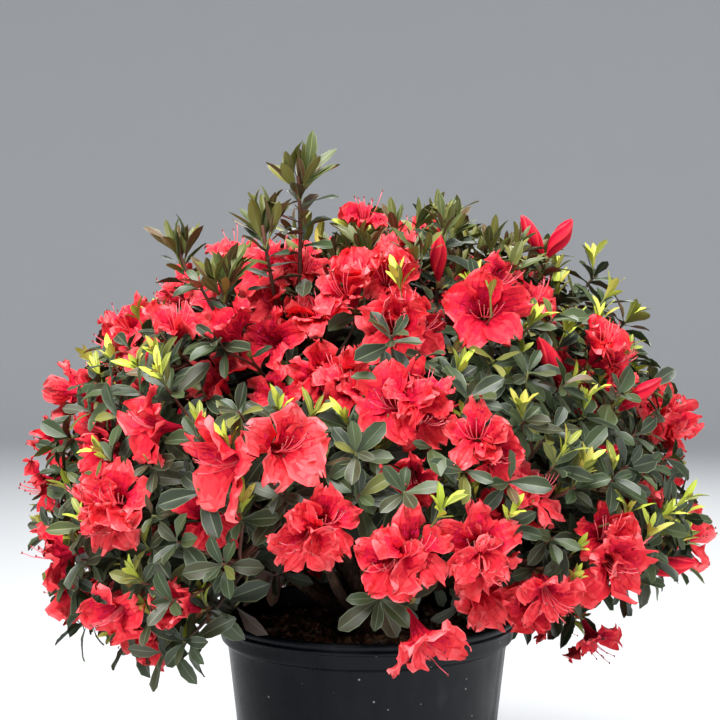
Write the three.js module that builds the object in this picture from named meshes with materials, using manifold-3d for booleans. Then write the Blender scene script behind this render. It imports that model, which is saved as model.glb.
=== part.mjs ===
// An evergreen azalea in full flower, grown in a black nursery pot.
//
// The shrub has many stems: a short stump stands on the potting mix and forks at once into
// slender boughs, one to each mass of foliage. The masses together make a wide, low dome that
// hangs over the rim all round, with a few long shoots standing out of its top.
// Every mass is a stem that forks into twigs, one to a shoot. A shoot ends in a rosette of
// leaves or in an open bloom.
//
// Lengths are in millimetres, angles in degrees. +Z is up, the origin is the middle of the
// pot's flat underside, and -Y is the side that the shrub is seen from.
// Bearings turn anticlockwise from +X, seen from above, so -90 is the front.
import * as THREE from "three";
import { mergeVertices } from "three/addons/utils/BufferGeometryUtils.js";
import Module from "manifold-3d";

const wasm = await Module();
wasm.setup();

// Driving sizes of the pot: an 11 litre nursery container.
const POT_HEIGHT = 240;
const RIM_RADIUS = 140;
const BODY_TOP_RADIUS = 130;
const BASE_RADIUS = 105;
const BAND_DEPTH = 23;
const LIP_DEPTH = 7;
const WALL = 2.4;
const FLOOR = 3;
const DRAIN_HOLES = 8;
const POT_SIDES = 40;

// The potting mix fills the pot to a little under the rim.
const MIX_BELOW_RIM = 18;
const MIX_SIDES = POT_SIDES / 2;

// Pieces that touch keep this much air between their faces.
const FIT = 0.3;

// Driving sizes of the stump, where all the boughs come together.
const STUMP_FOOT_RADIUS = 27;
const STUMP_WAIST_RADIUS = 15;
const STUMP_HEIGHT = 30;
const STUB_LENGTH = 26;

// The dome that the shoots end on.
const CROWN_MIDDLE = 345;
const CROWN_RADIUS = 285;
const CROWN_RISE = 235;
const LOWEST_ELEVATION = -26;

// The foliage masses, ring by ring from the skirt up to the top. A ring's boughs fork off at
// one height of the stump, and climb away from it at one slope.
const RINGS = [
  { name: "skirt", masses: 8, firstBearing: -157, elevation: 0, fork: 9, slope: 24 },
  { name: "shoulder", masses: 5, firstBearing: -126, elevation: 42, fork: 22, slope: 58 },
  { name: "top", masses: 1, firstBearing: -90, elevation: 86, fork: 28, slope: 88 },
];

// How far out along the dome's reach a bough ends, and a mass's own stem ends.
const BOUGH_SHARE = 0.42;
const STEM_SHARE = 0.64;

// Radii of the wood, from the stump outwards.
const BOUGH_GIRTH = [5.2, 3.6];
const STEM_GIRTH = [3.6, 2.6];
const TWIG_GIRTH = [2.2, 1.6];
const TWIG_SIDES = 3;
const TWIG_STEPS = 3;

// Shoots keep this far apart on the dome.
const SHOOT_SPACING = 58;
const SHOOT_TRIES = 1500;
const BLOOM_SHARE = 0.36;

// Gaps in the dome, as the bearing of the middle, the width and the lowest and highest
// elevation. Low at the front the crown is open, so that the pot's rim shows under it, and on
// the right its skirt ends higher. The last gap is a hollow above the first one, where the bare
// stems of the tallest shoots show.
const GAPS = [
  [-90, 58, -90, 3],
  [-22, 78, -90, -12],
  [-104, 34, 25, 62],
];
// Blooms sit a little lower in the dome than rosettes of leaves do.
const BLOOM_SINK = 0.05;

// The share of a twig's length for which it keeps its first and its last heading.
const TWIG_BOW = 1 / 3;

// How much of its shoot's aim is in a twig's first heading, and between which shares of the
// stem it forks off. The tallest shoots fork off low and rise straight away.
const TWIG_RISE = 0.35;
const TWIG_FORK = [0.2, 0.95];
const LEADER_RISE = 0.9;
const LEADER_FORK = [0.1, 0.4];

// A rosette of leaves at the end of a shoot. A leaf here stands for two or three real ones,
// so it is larger than life.
const LEAVES = 5;
const LEAF_LENGTH = 68;
const LEAF_WIDTH = 30;
const LEAF_ROOT = 5;

// A leaf or bloom takes the first of these sizes that has room, or else stays stunted.
const SIZES = [1, 0.85, 0.7, 0.55, 0.4];
const STUNTED = 0.3;

// An open bloom is a funnel of five petals.
const PETALS = 5;
const BLOOM_RADIUS = 36;
const BLOOM_DEPTH = 32;

// Shoots that the shrub is known by, as bearing, elevation, reach and what they end in.
const MARKED_SHOOTS = [
  [-107, 17, 0.95, "bloom"],
  [-124, 21, 0.93, "bloom"],
  [-134, 5, 0.94, "bloom"],
  [-166, 7, 0.94, "bloom"],
  [-146, -6, 0.95, "bloom"],
  [-166, 41, 0.94, "bloom"],
  [-93, 52, 0.92, "bloom"],
  [-84, 58, 0.93, "bloom"],
  [-67, 57, 0.96, "bloom"],
  [-82, 46, 0.9, "bloom"],
  [-127, 66, 0.86, "bloom"],
  [-108, 55, 0.76, "bloom"],
  [-119, 40, 0.88, "bloom"],
  [-93, 34, 0.76, "bloom"],
  [-83, 26, 0.92, "bloom"],
  [-60, 47, 0.95, "bloom"],
  [-14, 58, 1.08, "bloom"],
  [-46, 30, 0.92, "bloom"],
  [-35, 34, 0.94, "bloom"],
  [-12, 19, 0.93, "bloom"],
  [-34, 23, 0.93, "bloom"],
  [-71, 19, 0.94, "bloom"],
  [-133, -12, 0.94, "bloom"],
  [-98, 4, 0.94, "bloom"],
  [-85, -2, 0.95, "bloom"],
  [-73, -1, 0.92, "bloom"],
  [-84, -12, 0.94, "bloom"],
  [-49, -3, 0.93, "bloom"],
  [-61, -7, 0.93, "bloom"],
  [-96, 78, 1.02, "bloom"],
  [-113, 67, 1.31, "leader"],
  [-122, 61, 1.18, "leader"],
  [-127, 50, 1.09, "leader"],
  [-158, 57, 1.16, "leader"],
  [130, 50, 1.12, "leader"],
  [-53, 77, 1.05, "leaves"],
  [-21, 73, 1.05, "leaves"],
  [-14, 49, 1.03, "leaves"],
  [-4, 50, 1.14, "leaves"],
  [-12, 40, 1.08, "leaves"],
  [8, 58, 1.06, "leaves"],
  [-40, 62, 1.05, "leaves"],
  [-75, 68, 1.04, "leaves"],
  [-140, 52, 1.05, "leaves"],
  [-128, -24, 1, "leaves"],
  [-122, -12, 1, "leaves"],
  [-152, 22, 1, "leaves"],
  [-88, -10, 0.97, "leaves"],
  [-103, 9, 1, "leaves"],
  [-58, 20, 1, "leaves"],
  [-112, -4, 1, "leaves"],
  [-56, 9, 1, "leaves"],
  [-127, 13, 1, "leaves"],
];

const UP = new THREE.Vector3(0, 0, 1);
const rimBottom = POT_HEIGHT - BAND_DEPTH;
const mixTop = POT_HEIGHT - MIX_BELOW_RIM;
const crownHeart = new THREE.Vector3(0, 0, CROWN_MIDDLE);

const turn = (degrees) => (degrees * Math.PI) / 180;
const fraction = (value) => value - Math.floor(value);
const mix = (from, to, share) => from + (to - from) * share;

// A number from 0 to 1 that depends only on the shoot's number and on what is asked of it.
function chance(shoot, question) {
  return fraction(Math.sin(shoot * 127.1 + question * 311.7) * 43758.5453);
}

// A closed three.js geometry as a solid that can be joined and cut.
function solid(geometry) {
  const bare = geometry.index ? geometry.toNonIndexed() : geometry.clone();
  bare.deleteAttribute("normal");
  bare.deleteAttribute("uv");
  const merged = mergeVertices(bare, 1e-3);
  const corners = merged.index.array;
  const faces = [];
  for (let i = 0; i < corners.length; i += 3) {
    const [a, b, c] = corners.subarray(i, i + 3);
    if (a !== b && b !== c && c !== a) faces.push(a, b, c);
  }
  return new wasm.Manifold(
    new wasm.Mesh({
      numProp: 3,
      vertProperties: merged.getAttribute("position").array,
      triVerts: new Uint32Array(faces),
    }),
  );
}

// All the solids as one, with any scrap that touches nothing left out.
function joined(solids) {
  const whole = wasm.Manifold.union(solids).simplify(0.1);
  return whole.decompose().sort((a, b) => b.volume() - a.volume())[0];
}

// A named mesh that shows a solid.
function sculpture(name, shape, material) {
  const { vertProperties, triVerts } = shape.getMesh();
  const geometry = new THREE.BufferGeometry();
  geometry.setAttribute("position", new THREE.BufferAttribute(vertProperties, 3));
  geometry.setIndex(new THREE.BufferAttribute(triVerts, 1));
  geometry.computeVertexNormals();
  const mesh = new THREE.Mesh(geometry, material);
  mesh.name = name;
  return mesh;
}

// A profile of radius and height turned round the Z axis.
function turned(profile, sides) {
  const points = profile.map(([radius, height]) => new THREE.Vector2(radius, height));
  return new THREE.LatheGeometry(points, sides).rotateX(Math.PI / 2);
}

// A limb: a cylinder whose rings are carried along a curve, with the girth going evenly from
// the first radius to the last. Both ends are flat and square to the curve.
function limb(curve, [first, last], sides, steps) {
  const geometry = new THREE.CylinderGeometry(1, 1, 1, sides, steps);
  const frames = curve.computeFrenetFrames(steps);
  const places = geometry.getAttribute("position");
  for (let i = 0; i < places.count; i += 1) {
    const along = places.getY(i) + 0.5;
    const ring = Math.round(along * steps);
    const girth = mix(first, last, along);
    const place = curve
      .getPointAt(along)
      .addScaledVector(frames.binormals[ring], places.getX(i) * girth)
      .addScaledVector(frames.normals[ring], places.getZ(i) * girth);
    places.setXYZ(i, place.x, place.y, place.z);
  }
  return geometry;
}

// A point on the dome, or at a share of its reach.
function domePoint(bearing, elevation, reach) {
  const level = CROWN_RADIUS * Math.cos(turn(elevation));
  return new THREE.Vector3(
    level * Math.cos(turn(bearing)),
    level * Math.sin(turn(bearing)),
    CROWN_RISE * Math.sin(turn(elevation)),
  )
    .multiplyScalar(reach)
    .add(crownHeart);
}

// A curve that leaves a point in a given direction and bends over to another point.
function bend(from, heading, to) {
  const half = from.distanceTo(to) * 0.5;
  const control = from.clone().addScaledVector(heading, half);
  return new THREE.QuadraticBezierCurve3(from, control, to);
}

// The pot: one moulded wall with a rolled lip and a plain band under it, and a flat floor with
// drain holes round its edge.
function potSolid() {
  const bandRadius = RIM_RADIUS - 3;
  const taper = (BODY_TOP_RADIUS - BASE_RADIUS) / rimBottom;
  const inner = (height) => BASE_RADIUS + taper * height - WALL;
  const shell = solid(
    turned(
      [
        [0, 0],
        [BASE_RADIUS - 2, 0],
        [BASE_RADIUS, 2],
        [BODY_TOP_RADIUS, rimBottom - 2],
        [BODY_TOP_RADIUS + 2, rimBottom],
        [bandRadius - 1.5, rimBottom + 1],
        [bandRadius, POT_HEIGHT - LIP_DEPTH],
        [RIM_RADIUS - 0.6, POT_HEIGHT - LIP_DEPTH + 1],
        [RIM_RADIUS, POT_HEIGHT - LIP_DEPTH / 2],
        [RIM_RADIUS - 1.5, POT_HEIGHT],
        [RIM_RADIUS - 4.5, POT_HEIGHT],
        [bandRadius - WALL, POT_HEIGHT - LIP_DEPTH / 2],
        [bandRadius - 1.5 - WALL, rimBottom + WALL],
        [inner(rimBottom), rimBottom],
        [inner(FLOOR), FLOOR],
        [0, FLOOR],
      ],
      POT_SIDES,
    ),
  );
  const holes = Array.from({ length: DRAIN_HOLES }, (_, i) =>
    solid(
      new THREE.BoxGeometry(16, 24, 12)
        .translate(BASE_RADIUS, 0, 11)
        .rotateZ(turn(((i + 0.5) * 360) / DRAIN_HOLES)),
    ),
  );
  return holes.reduce((rest, hole) => rest.subtract(hole), shell);
}

// The potting mix: a plug that fills the pot, with a low mound round a flat middle that the
// stump stands on.
function mixSolid() {
  const taper = (BODY_TOP_RADIUS - BASE_RADIUS) / rimBottom;
  const radiusAt = (height) => BASE_RADIUS + taper * height - WALL - FIT;
  const foot = FLOOR + FIT;
  return solid(
    turned(
      [
        [0, foot],
        [radiusAt(foot), foot],
        [radiusAt(rimBottom - 6), rimBottom - 6],
        [radiusAt(rimBottom) - 10, rimBottom - 1],
        [82, mixTop + 1],
        [56, mixTop + 2],
        [STUMP_FOOT_RADIUS + 6, mixTop - FIT],
        [0, mixTop - FIT],
      ],
      MIX_SIDES,
    ),
  );
}

// The foliage masses: where each one's middle lies and how its bough reaches it.
function planMasses() {
  const plans = [];
  for (const ring of RINGS) {
    for (let i = 0; i < ring.masses; i += 1) {
      const bearing = ring.firstBearing + (i * 360) / ring.masses;
      const name = ring.masses > 1 ? `${ring.name}_${i + 1}` : ring.name;
      const fork = new THREE.Vector3(0, 0, mixTop + ring.fork);
      const heading = new THREE.Vector3(
        Math.cos(turn(ring.slope)) * Math.cos(turn(bearing)),
        Math.cos(turn(ring.slope)) * Math.sin(turn(bearing)),
        Math.sin(turn(ring.slope)),
      );
      const boughTip = domePoint(bearing, ring.elevation, BOUGH_SHARE);
      const middle = domePoint(bearing, ring.elevation, STEM_SHARE);
      plans.push({ name, fork, heading, boughTip, middle, shoots: [] });
    }
  }
  return plans;
}

// The bough runs from the end of its stub on the stump to the point where it enters its mass.
function boughCurve(plan) {
  const start = plan.fork.clone().addScaledVector(plan.heading, STUB_LENGTH + FIT);
  return bend(start, plan.heading, plan.boughTip);
}

// The mass's own stem goes on from the bough's tip.
function stemCurve(plan) {
  const heading = boughCurve(plan).getTangentAt(1);
  const start = plan.boughTip.clone().addScaledVector(heading, FIT);
  return bend(start, heading, plan.middle);
}

// The stump: a flared foot cut flat on the mix, and a short stub towards each bough.
function stumpSolid(plans) {
  const foot = solid(
    turned(
      [
        [0, mixTop],
        [STUMP_FOOT_RADIUS, mixTop],
        [STUMP_FOOT_RADIUS - 6, mixTop + 4],
        [STUMP_WAIST_RADIUS + 1.5, mixTop + 12],
        [STUMP_WAIST_RADIUS, mixTop + STUMP_HEIGHT * 0.7],
        [STUMP_WAIST_RADIUS - 5, mixTop + STUMP_HEIGHT],
        [0, mixTop + STUMP_HEIGHT + 3],
      ],
      12,
    ),
  );
  const stubs = plans.map((plan) => {
    const end = plan.fork.clone().addScaledVector(plan.heading, STUB_LENGTH);
    const girth = [BOUGH_GIRTH[0] + 1, BOUGH_GIRTH[0]];
    return solid(limb(new THREE.LineCurve3(plan.fork, end), girth, 6, 1));
  });
  return joined([foot, ...stubs]);
}

// Whether a place on the dome lies in one of its gaps.
function inGap(bearing, elevation) {
  return GAPS.some(([middle, width, lowest, highest]) => {
    const aside = Math.abs(360 * fraction((bearing - middle + 180) / 360) - 180);
    return aside < width / 2 && elevation > lowest && elevation < highest;
  });
}

// All the shoots: the marked ones, and then a sequence that fills what is left of the dome
// evenly, in which a shoot in a gap or too near an earlier one is passed over.
function planShoots() {
  const shoots = [];
  const add = (bearing, elevation, reach, end) => {
    const tip = domePoint(bearing, elevation, reach);
    const outward = tip.clone().sub(crownHeart).normalize();
    const lift = end === "bloom" ? 0.12 : 0.4;
    const aim = outward.addScaledVector(UP, end === "leader" ? 1.5 : lift).normalize();
    const heart = tip.clone().addScaledVector(aim, BLOOM_DEPTH / 2);
    shoots.push({ number: shoots.length, tip, aim, heart, end });
  };
  for (const marked of MARKED_SHOOTS) add(...marked);
  const lowest = Math.sin(turn(LOWEST_ELEVATION));
  for (let n = 1; n <= SHOOT_TRIES; n += 1) {
    const bearing = 360 * fraction(n * 0.7548776662466927);
    const height = mix(lowest, 1, fraction(n * 0.5698402909980532));
    const elevation = (Math.asin(height) * 180) / Math.PI;
    if (inGap(bearing, elevation)) continue;
    const end = chance(n, 2) < BLOOM_SHARE ? "bloom" : "leaves";
    const reach = mix(0.88, 1.02, chance(n, 1)) - (end === "bloom" ? BLOOM_SINK : 0);
    const tip = domePoint(bearing, elevation, reach);
    const clear = shoots.every((other) => other.tip.distanceTo(tip) > SHOOT_SPACING);
    if (clear) add(bearing, elevation, reach, end);
  }
  return shoots;
}

// One leaf of a rosette as three points across, along and across the shoot's aim: its widest
// place on one side, its tip, and the other side.
function leafPoints(shoot, i, size) {
  const bearing = turn(((i + 0.5) * 360) / LEAVES);
  const opening = shoot.end === "leader" ? 26 : 46;
  const spread = turn(opening + 28 * chance(shoot.number, 10 + i));
  const out = new THREE.Vector3(Math.sin(bearing), 0, Math.cos(bearing));
  const side = new THREE.Vector3(Math.cos(bearing), 0, -Math.sin(bearing));
  const along = new THREE.Vector3(0, Math.cos(spread), 0).addScaledVector(out, Math.sin(spread));
  const middle = along.clone().multiplyScalar(LEAF_LENGTH * size * 0.55);
  const half = (LEAF_WIDTH * size) / 2;
  return [
    middle.clone().addScaledVector(side, -half),
    along.multiplyScalar(LEAF_LENGTH * size),
    middle.addScaledVector(side, half),
  ];
}

// The rim of a rosette: for each leaf the notch before it and its three points. A leaf that
// would leave the mass's space grows shorter.
function leafRim(shoot, fits) {
  const rim = [];
  for (let i = 0; i < LEAVES; i += 1) {
    const notch = turn((i * 360) / LEAVES);
    const size = SIZES.find((share) => fits(leafPoints(shoot, i, share))) ?? STUNTED;
    rim.push(new THREE.Vector3(Math.sin(notch) * LEAF_ROOT, 1, Math.cos(notch) * LEAF_ROOT));
    rim.push(...leafPoints(shoot, i, size));
  }
  return { rim, throat: 4 };
}

// The rim of an open bloom. Each petal gives three points: the notch before it, where the rim
// is drawn in, and the two corners of its end, which is bent back.
function petalRim(fits) {
  const rimOf = (size) =>
    Array.from({ length: PETALS * 3 }, (_, i) => {
      const bearing = (i / (PETALS * 3)) * 2 * Math.PI;
      const notch = i % 3 === 0;
      const radius = BLOOM_RADIUS * size * (notch ? 0.66 : 1);
      const height = BLOOM_DEPTH * size - (notch ? 2 : 7);
      return new THREE.Vector3(Math.sin(bearing) * radius, height, Math.cos(bearing) * radius);
    });
  const size = SIZES.find((share) => fits(rimOf(share))) ?? STUNTED;
  return { rim: rimOf(size), throat: BLOOM_DEPTH * size * 0.42 };
}

// A shoot as one closed surface: a twig carried along a curve that opens at its end into a
// rosette or a bloom. It is a cylinder whose last ring becomes the rim, and whose other rings
// have their corners gathered into the few corners of the twig.
function shootGeometry(shoot, curve, hasRoom) {
  const frames = curve.computeFrenetFrames(TWIG_STEPS);
  const placed = (local, ring) =>
    curve
      .getPointAt(ring / TWIG_STEPS)
      .addScaledVector(frames.binormals[ring], local.x)
      .addScaledVector(frames.tangents[ring], local.y)
      .addScaledVector(frames.normals[ring], local.z);
  const fits = (points) => points.every((point) => hasRoom(placed(point, TWIG_STEPS)));
  const { rim, throat } = shoot.end === "bloom" ? petalRim(fits) : leafRim(shoot, fits);
  const geometry = new THREE.CylinderGeometry(1, 1, 1, rim.length, TWIG_STEPS + 1);
  const places = geometry.getAttribute("position");
  for (let i = 0; i < places.count; i += 1) {
    const [x, y, z] = [places.getX(i), places.getY(i), places.getZ(i)];
    const level = Math.round((y + 0.5) * (TWIG_STEPS + 1));
    const ring = Math.min(level, TWIG_STEPS);
    const middle = Math.hypot(x, z) < 0.5;
    const corner = Math.round(fraction(Math.atan2(x, z) / (2 * Math.PI) + 1) * rim.length);
    const local = new THREE.Vector3();
    if (level > TWIG_STEPS) {
      if (middle) local.y = throat;
      else local.copy(rim[corner % rim.length]);
    } else if (!middle) {
      const gathered = turn((Math.round((corner * TWIG_SIDES) / rim.length) * 360) / TWIG_SIDES);
      const girth = mix(TWIG_GIRTH[0], TWIG_GIRTH[1], ring / TWIG_STEPS);
      local.set(Math.sin(gathered) * girth, 0, Math.cos(gathered) * girth);
    }
    places.setXYZ(i, ...placed(local, ring).toArray());
  }
  return geometry;
}

// One foliage mass: its stem and a twig to every shoot. A mass's space is what lies nearer to
// one of its own shoots than to any shoot of another mass, and off the pot. A shoot that would
// still touch what is already there is left out.
function massSolid(plan, shoots, taken) {
  const stem = stemCurve(plan);
  const strangers = shoots.filter((shoot) => !plan.shoots.includes(shoot));
  const parts = [solid(limb(stem, STEM_GIRTH, 5, 3))];
  for (const shoot of plan.shoots) {
    const hasRoom = (corner) => {
      const own = corner.distanceTo(shoot.heart) + 1.5;
      const overPot = Math.hypot(corner.x, corner.y) < RIM_RADIUS + 4 && corner.z < POT_HEIGHT + 4;
      return !overPot && strangers.every((other) => corner.distanceTo(other.heart) > own);
    };
    const leader = shoot.end === "leader";
    const foot = mix(...(leader ? LEADER_FORK : TWIG_FORK), chance(shoot.number, 5));
    const start = stem.getPointAt(foot);
    const rise = leader ? LEADER_RISE : TWIG_RISE;
    const heading = stem.getTangentAt(foot).lerp(shoot.aim, rise).normalize();
    const bow = start.distanceTo(shoot.tip) * TWIG_BOW;
    const twig = new THREE.CubicBezierCurve3(
      start,
      start.clone().addScaledVector(heading, bow),
      shoot.tip.clone().addScaledVector(shoot.aim, -bow),
      shoot.tip,
    );
    const part = solid(shootGeometry(shoot, twig, hasRoom));
    if (part.intersect(taken).isEmpty()) parts.push(part);
  }
  return joined(parts);
}

const blackPlastic = new THREE.MeshStandardMaterial({
  name: "black_plastic",
  color: 0x16191c,
  roughness: 0.5,
});
const barkMix = new THREE.MeshStandardMaterial({
  name: "bark_mix",
  color: 0x3a2418,
  roughness: 0.95,
});
const bark = new THREE.MeshStandardMaterial({ name: "bark", color: 0x4b3428, roughness: 0.85 });
const foliage = new THREE.MeshStandardMaterial({
  name: "foliage",
  color: 0x2f4a2e,
  roughness: 0.55,
});

const azalea = new THREE.Group();
const container = new THREE.Group();
container.add(sculpture("pot", potSolid(), blackPlastic));
container.add(sculpture("potting_mix", mixSolid(), barkMix));
azalea.add(container);

const plans = planMasses();
const shoots = planShoots();
for (const shoot of shoots) {
  const nearness = (plan) => plan.middle.distanceTo(shoot.tip);
  const home = plans.reduce((best, plan) => (nearness(plan) < nearness(best) ? plan : best));
  home.shoots.push(shoot);
}

const wood = new THREE.Group();
const stump = stumpSolid(plans);
let taken = stump;
wood.add(sculpture("stump", stump, bark));
for (const plan of plans) {
  const bough = solid(limb(boughCurve(plan), BOUGH_GIRTH, 6, 5));
  wood.add(sculpture(`bough_${plan.name}`, bough, bark));
  taken = taken.add(bough);
}
azalea.add(wood);

const crown = new THREE.Group();
for (const plan of plans) {
  const mass = massSolid(plan, shoots, taken);
  crown.add(sculpture(`foliage_${plan.name}`, mass, foliage));
  taken = taken.add(mass);
}
azalea.add(crown);

export default azalea;
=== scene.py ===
"""An evergreen azalea in full flower, grown in a black nursery pot.

Lengths are in metres, +Z is up, and the origin is the middle of the pot's underside. The shrub
is seen from -Y. Bearings turn anticlockwise from +X, seen from above, so -90 is the front.
"""

import math

import bpy
import numpy as np
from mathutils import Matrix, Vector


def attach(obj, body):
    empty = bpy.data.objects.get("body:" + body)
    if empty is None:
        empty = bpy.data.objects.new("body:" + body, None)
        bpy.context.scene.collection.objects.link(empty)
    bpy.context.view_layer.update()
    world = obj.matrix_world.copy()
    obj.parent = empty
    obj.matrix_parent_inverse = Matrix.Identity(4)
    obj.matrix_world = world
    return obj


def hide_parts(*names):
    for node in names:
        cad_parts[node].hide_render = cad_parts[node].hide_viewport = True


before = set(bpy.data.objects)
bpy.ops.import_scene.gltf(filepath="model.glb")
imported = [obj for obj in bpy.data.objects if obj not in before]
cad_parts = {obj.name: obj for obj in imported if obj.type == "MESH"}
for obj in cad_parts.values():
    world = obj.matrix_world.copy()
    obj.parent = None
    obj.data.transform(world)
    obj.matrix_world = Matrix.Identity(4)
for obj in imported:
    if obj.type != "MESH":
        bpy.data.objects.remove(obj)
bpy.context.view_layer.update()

# The stand for the picture: a pale floor that sweeps up all round into a low wall, so that no
# horizon shows. The light is soft and comes from above, a little stronger from the front left.
# The camera stands 1.24 m in front of the pot's axis, half a metre up, and looks nearly level.
FLOOR_RADIUS = 5.0
FLOOR_SIDES = 96
SWEEP_RADIUS = 2.5
WALL_TOP = 5.0
# Each soft light by name, place, side length and power. They all face one point.
SOFT_LIGHTS = [
    ("above", (-0.3, -1.0, 2.9), 1.8, 150.0),
    ("front_left", (-1.6, -2.4, 2.2), 1.4, 66.0),
    ("front_right", (2.3, -1.7, 1.1), 1.8, 19.0),
    ("behind", (0.6, 2.6, 2.4), 1.8, 52.0),
]
LIT_POINT = (0.0, 0.0, 0.4)
CAMERA_PLACE = (0.0, -1.240, 0.501)
FOCAL_LENGTH = 66.65
LOOK_DOWN = 1.29
LOOK_LEFT = 0.30


def grid_faces(copies, rows, columns, closed):
    """The quads of a number of like grids whose points lie one after another: each point's
    quad runs to the next point in its row and in its column, and round again if closed."""
    steps = columns if closed else columns - 1
    row, column = np.meshgrid(np.arange(rows - 1), np.arange(steps), indexing="ij")
    beside = (column + 1) % columns
    corners = [row * columns + column, row * columns + beside]
    corners += [(row + 1) * columns + beside, (row + 1) * columns + column]
    one = np.stack(corners, axis=-1).reshape(-1, 4)
    return (one + rows * columns * np.arange(copies)[:, None, None]).reshape(-1, 4)


def surface(name, points, faces, finishes, finish_of_face=0, smooth=True):
    """A mesh of the given points and quads, with the finish of each face by its number. The
    mesh's own place is where the piece stands."""
    mesh = bpy.data.meshes.new(name)
    points = np.asarray(points, np.float32).reshape(-1, 3)
    faces = np.asarray(faces, np.int32)
    mesh.vertices.add(len(points))
    mesh.vertices.foreach_set("co", points.ravel())
    mesh.loops.add(faces.size)
    mesh.loops.foreach_set("vertex_index", faces.ravel())
    mesh.polygons.add(len(faces))
    mesh.polygons.foreach_set("loop_start", np.arange(len(faces), dtype=np.int32) * faces.shape[1])
    for finish in finishes:
        mesh.materials.append(finish)
    numbers = np.broadcast_to(np.asarray(finish_of_face, np.int32), len(faces))
    mesh.polygons.foreach_set("material_index", np.ascontiguousarray(numbers))
    mesh.polygons.foreach_set("use_smooth", np.full(len(faces), smooth))
    mesh.update(calc_edges=True)
    mesh.validate()
    piece = bpy.data.objects.new(name, mesh)
    bpy.context.scene.collection.objects.link(piece)
    return piece


def grid_surface(name, grids, finishes, finish_of_face=0, closed=True):
    """A mesh of one grid of points, or of many like ones."""
    copies, rows, columns = grids.reshape(-1, *grids.shape[-3:]).shape[:3]
    return surface(name, grids, grid_faces(copies, rows, columns, closed), finishes, finish_of_face)


def plain_finish(name, colour, roughness, shine):
    """A finish with one base colour, roughness and shine all over."""
    finish = bpy.data.materials.new(name)
    finish.use_nodes = True
    shader = finish.node_tree.nodes["Principled BSDF"]
    shader.inputs["Base Color"].default_value = (*colour, 1.0)
    shader.inputs["Roughness"].default_value = roughness
    shader.inputs["Specular IOR Level"].default_value = shine
    return finish


def turned(profile, sides):
    """Points of a profile of radius and height turned round the Z axis: each row of the grid
    is a ring, (radius cos a, radius sin a, height)."""
    angle = np.linspace(0, 2 * np.pi, sides, endpoint=False)
    radius, height = np.asarray(profile, float).T[:, :, None]
    level = np.broadcast_to(height, (len(radius), sides))
    return np.stack([radius * np.cos(angle), radius * np.sin(angle), level], axis=-1)


sweep = np.linspace(0, np.pi / 2, 13)
sweep_out = FLOOR_RADIUS + SWEEP_RADIUS * np.sin(sweep)
sweep_up = SWEEP_RADIUS * (1 - np.cos(sweep))
floor_profile = np.vstack(
    [
        [[0.001, 0.0], [1.0, 0.0], [2.5, 0.0]],
        np.column_stack([sweep_out, sweep_up]),
        [[FLOOR_RADIUS + SWEEP_RADIUS, WALL_TOP]],
    ]
)
floor = surface(
    "floor",
    turned(floor_profile, FLOOR_SIDES),
    grid_faces(1, len(floor_profile), FLOOR_SIDES, closed=True)[:, ::-1],
    [plain_finish("pale_floor", (0.62, 0.63, 0.64), 0.8, 0.2)],
)

world = bpy.data.worlds.new("soft_sky")
world.use_nodes = True
sky = world.node_tree.nodes["Background"]
sky.inputs["Color"].default_value = (0.90, 0.94, 1.0, 1.0)
sky.inputs["Strength"].default_value = 0.40
bpy.context.scene.world = world

for name, place, side, power in SOFT_LIGHTS:
    lamp = bpy.data.lights.new(name, "AREA")
    lamp.shape = "SQUARE"
    lamp.size = side
    lamp.energy = power
    light = bpy.data.objects.new(name, lamp)
    light.location = place
    heading = Vector(LIT_POINT) - Vector(place)
    light.rotation_euler = heading.to_track_quat("-Z", "Y").to_euler()
    bpy.context.scene.collection.objects.link(light)

camera_lens = bpy.data.cameras.new("camera")
camera_lens.sensor_width = 36.0
camera_lens.lens = FOCAL_LENGTH
camera = bpy.data.objects.new("camera", camera_lens)
camera.location = CAMERA_PLACE
camera.rotation_euler = (math.radians(90 - LOOK_DOWN), 0.0, math.radians(LOOK_LEFT))
bpy.context.scene.collection.objects.link(camera)
bpy.context.scene.camera = camera
bpy.context.scene.view_settings.view_transform = "Standard"

# The pot: one blow-moulded shell of thin black plastic, with a rolled lip, a plain band under
# it that ends in a small step, and a straight taper down to a flat base. Eight drain holes are
# cut round the foot. Dust and dried splashes dull the plastic. Towards the right the dust grows
# lighter and the shine stronger: partly dust, partly a painted sheen of sky light on that side.
POT_HEIGHT = 0.240
RIM_RADIUS = 0.140
BODY_TOP_RADIUS = 0.130
BASE_RADIUS = 0.105
BAND_FOOT = 0.217
WALL = 0.0024
POT_SIDES = 192
# How far each point of the lip's section lies in from the rim and down from the top.
LIP = [
    (0.0036, 0.0110), (0.0010, 0.0102), (0.0008, 0.0078), (0.0024, 0.0068), (0.0022, 0.0060),
    (0.0002, 0.0052), (0.0, 0.0020), (0.0014, 0.0), (0.0050, 0.0003), (0.0060, 0.0040),
]
DRAIN_HOLES = 8
HOLE_REACH = 0.012
HOLE_HALF_WIDTH = 0.008
HOLE_HEIGHTS = (0.005, 0.017)
# From the pot's left to its right: the dust's strength, partly a painted sheen, and the
# plastic's shine, a painted sheen of sky light.
DUST_AND_SHEEN_SIDES = (-0.12, 0.12)
DUST_AND_SHEEN_STRENGTH = (0.62, 1.38)
PAINTED_SHEEN_SHINE = (0.03, 0.22)


def rounded(corners, reach, steps=4):
    """A profile with each inner corner replaced by a short arc: the quadratic curve from a
    point at most `reach` before the corner to one as far after it."""
    corners = np.asarray(corners, float)
    out = [corners[:1]]
    share = np.linspace(0, 1, steps + 1)[:, None]
    for before, corner, after in zip(corners[:-2], corners[1:-1], corners[2:]):
        run_in = before - corner
        run_out = after - corner
        start = corner + run_in * min(0.45, reach / np.linalg.norm(run_in))
        end = corner + run_out * min(0.45, reach / np.linalg.norm(run_out))
        out.append((1 - share) ** 2 * start + 2 * share * (1 - share) * corner + share**2 * end)
    return np.vstack([*out, corners[-1:]])


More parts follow.
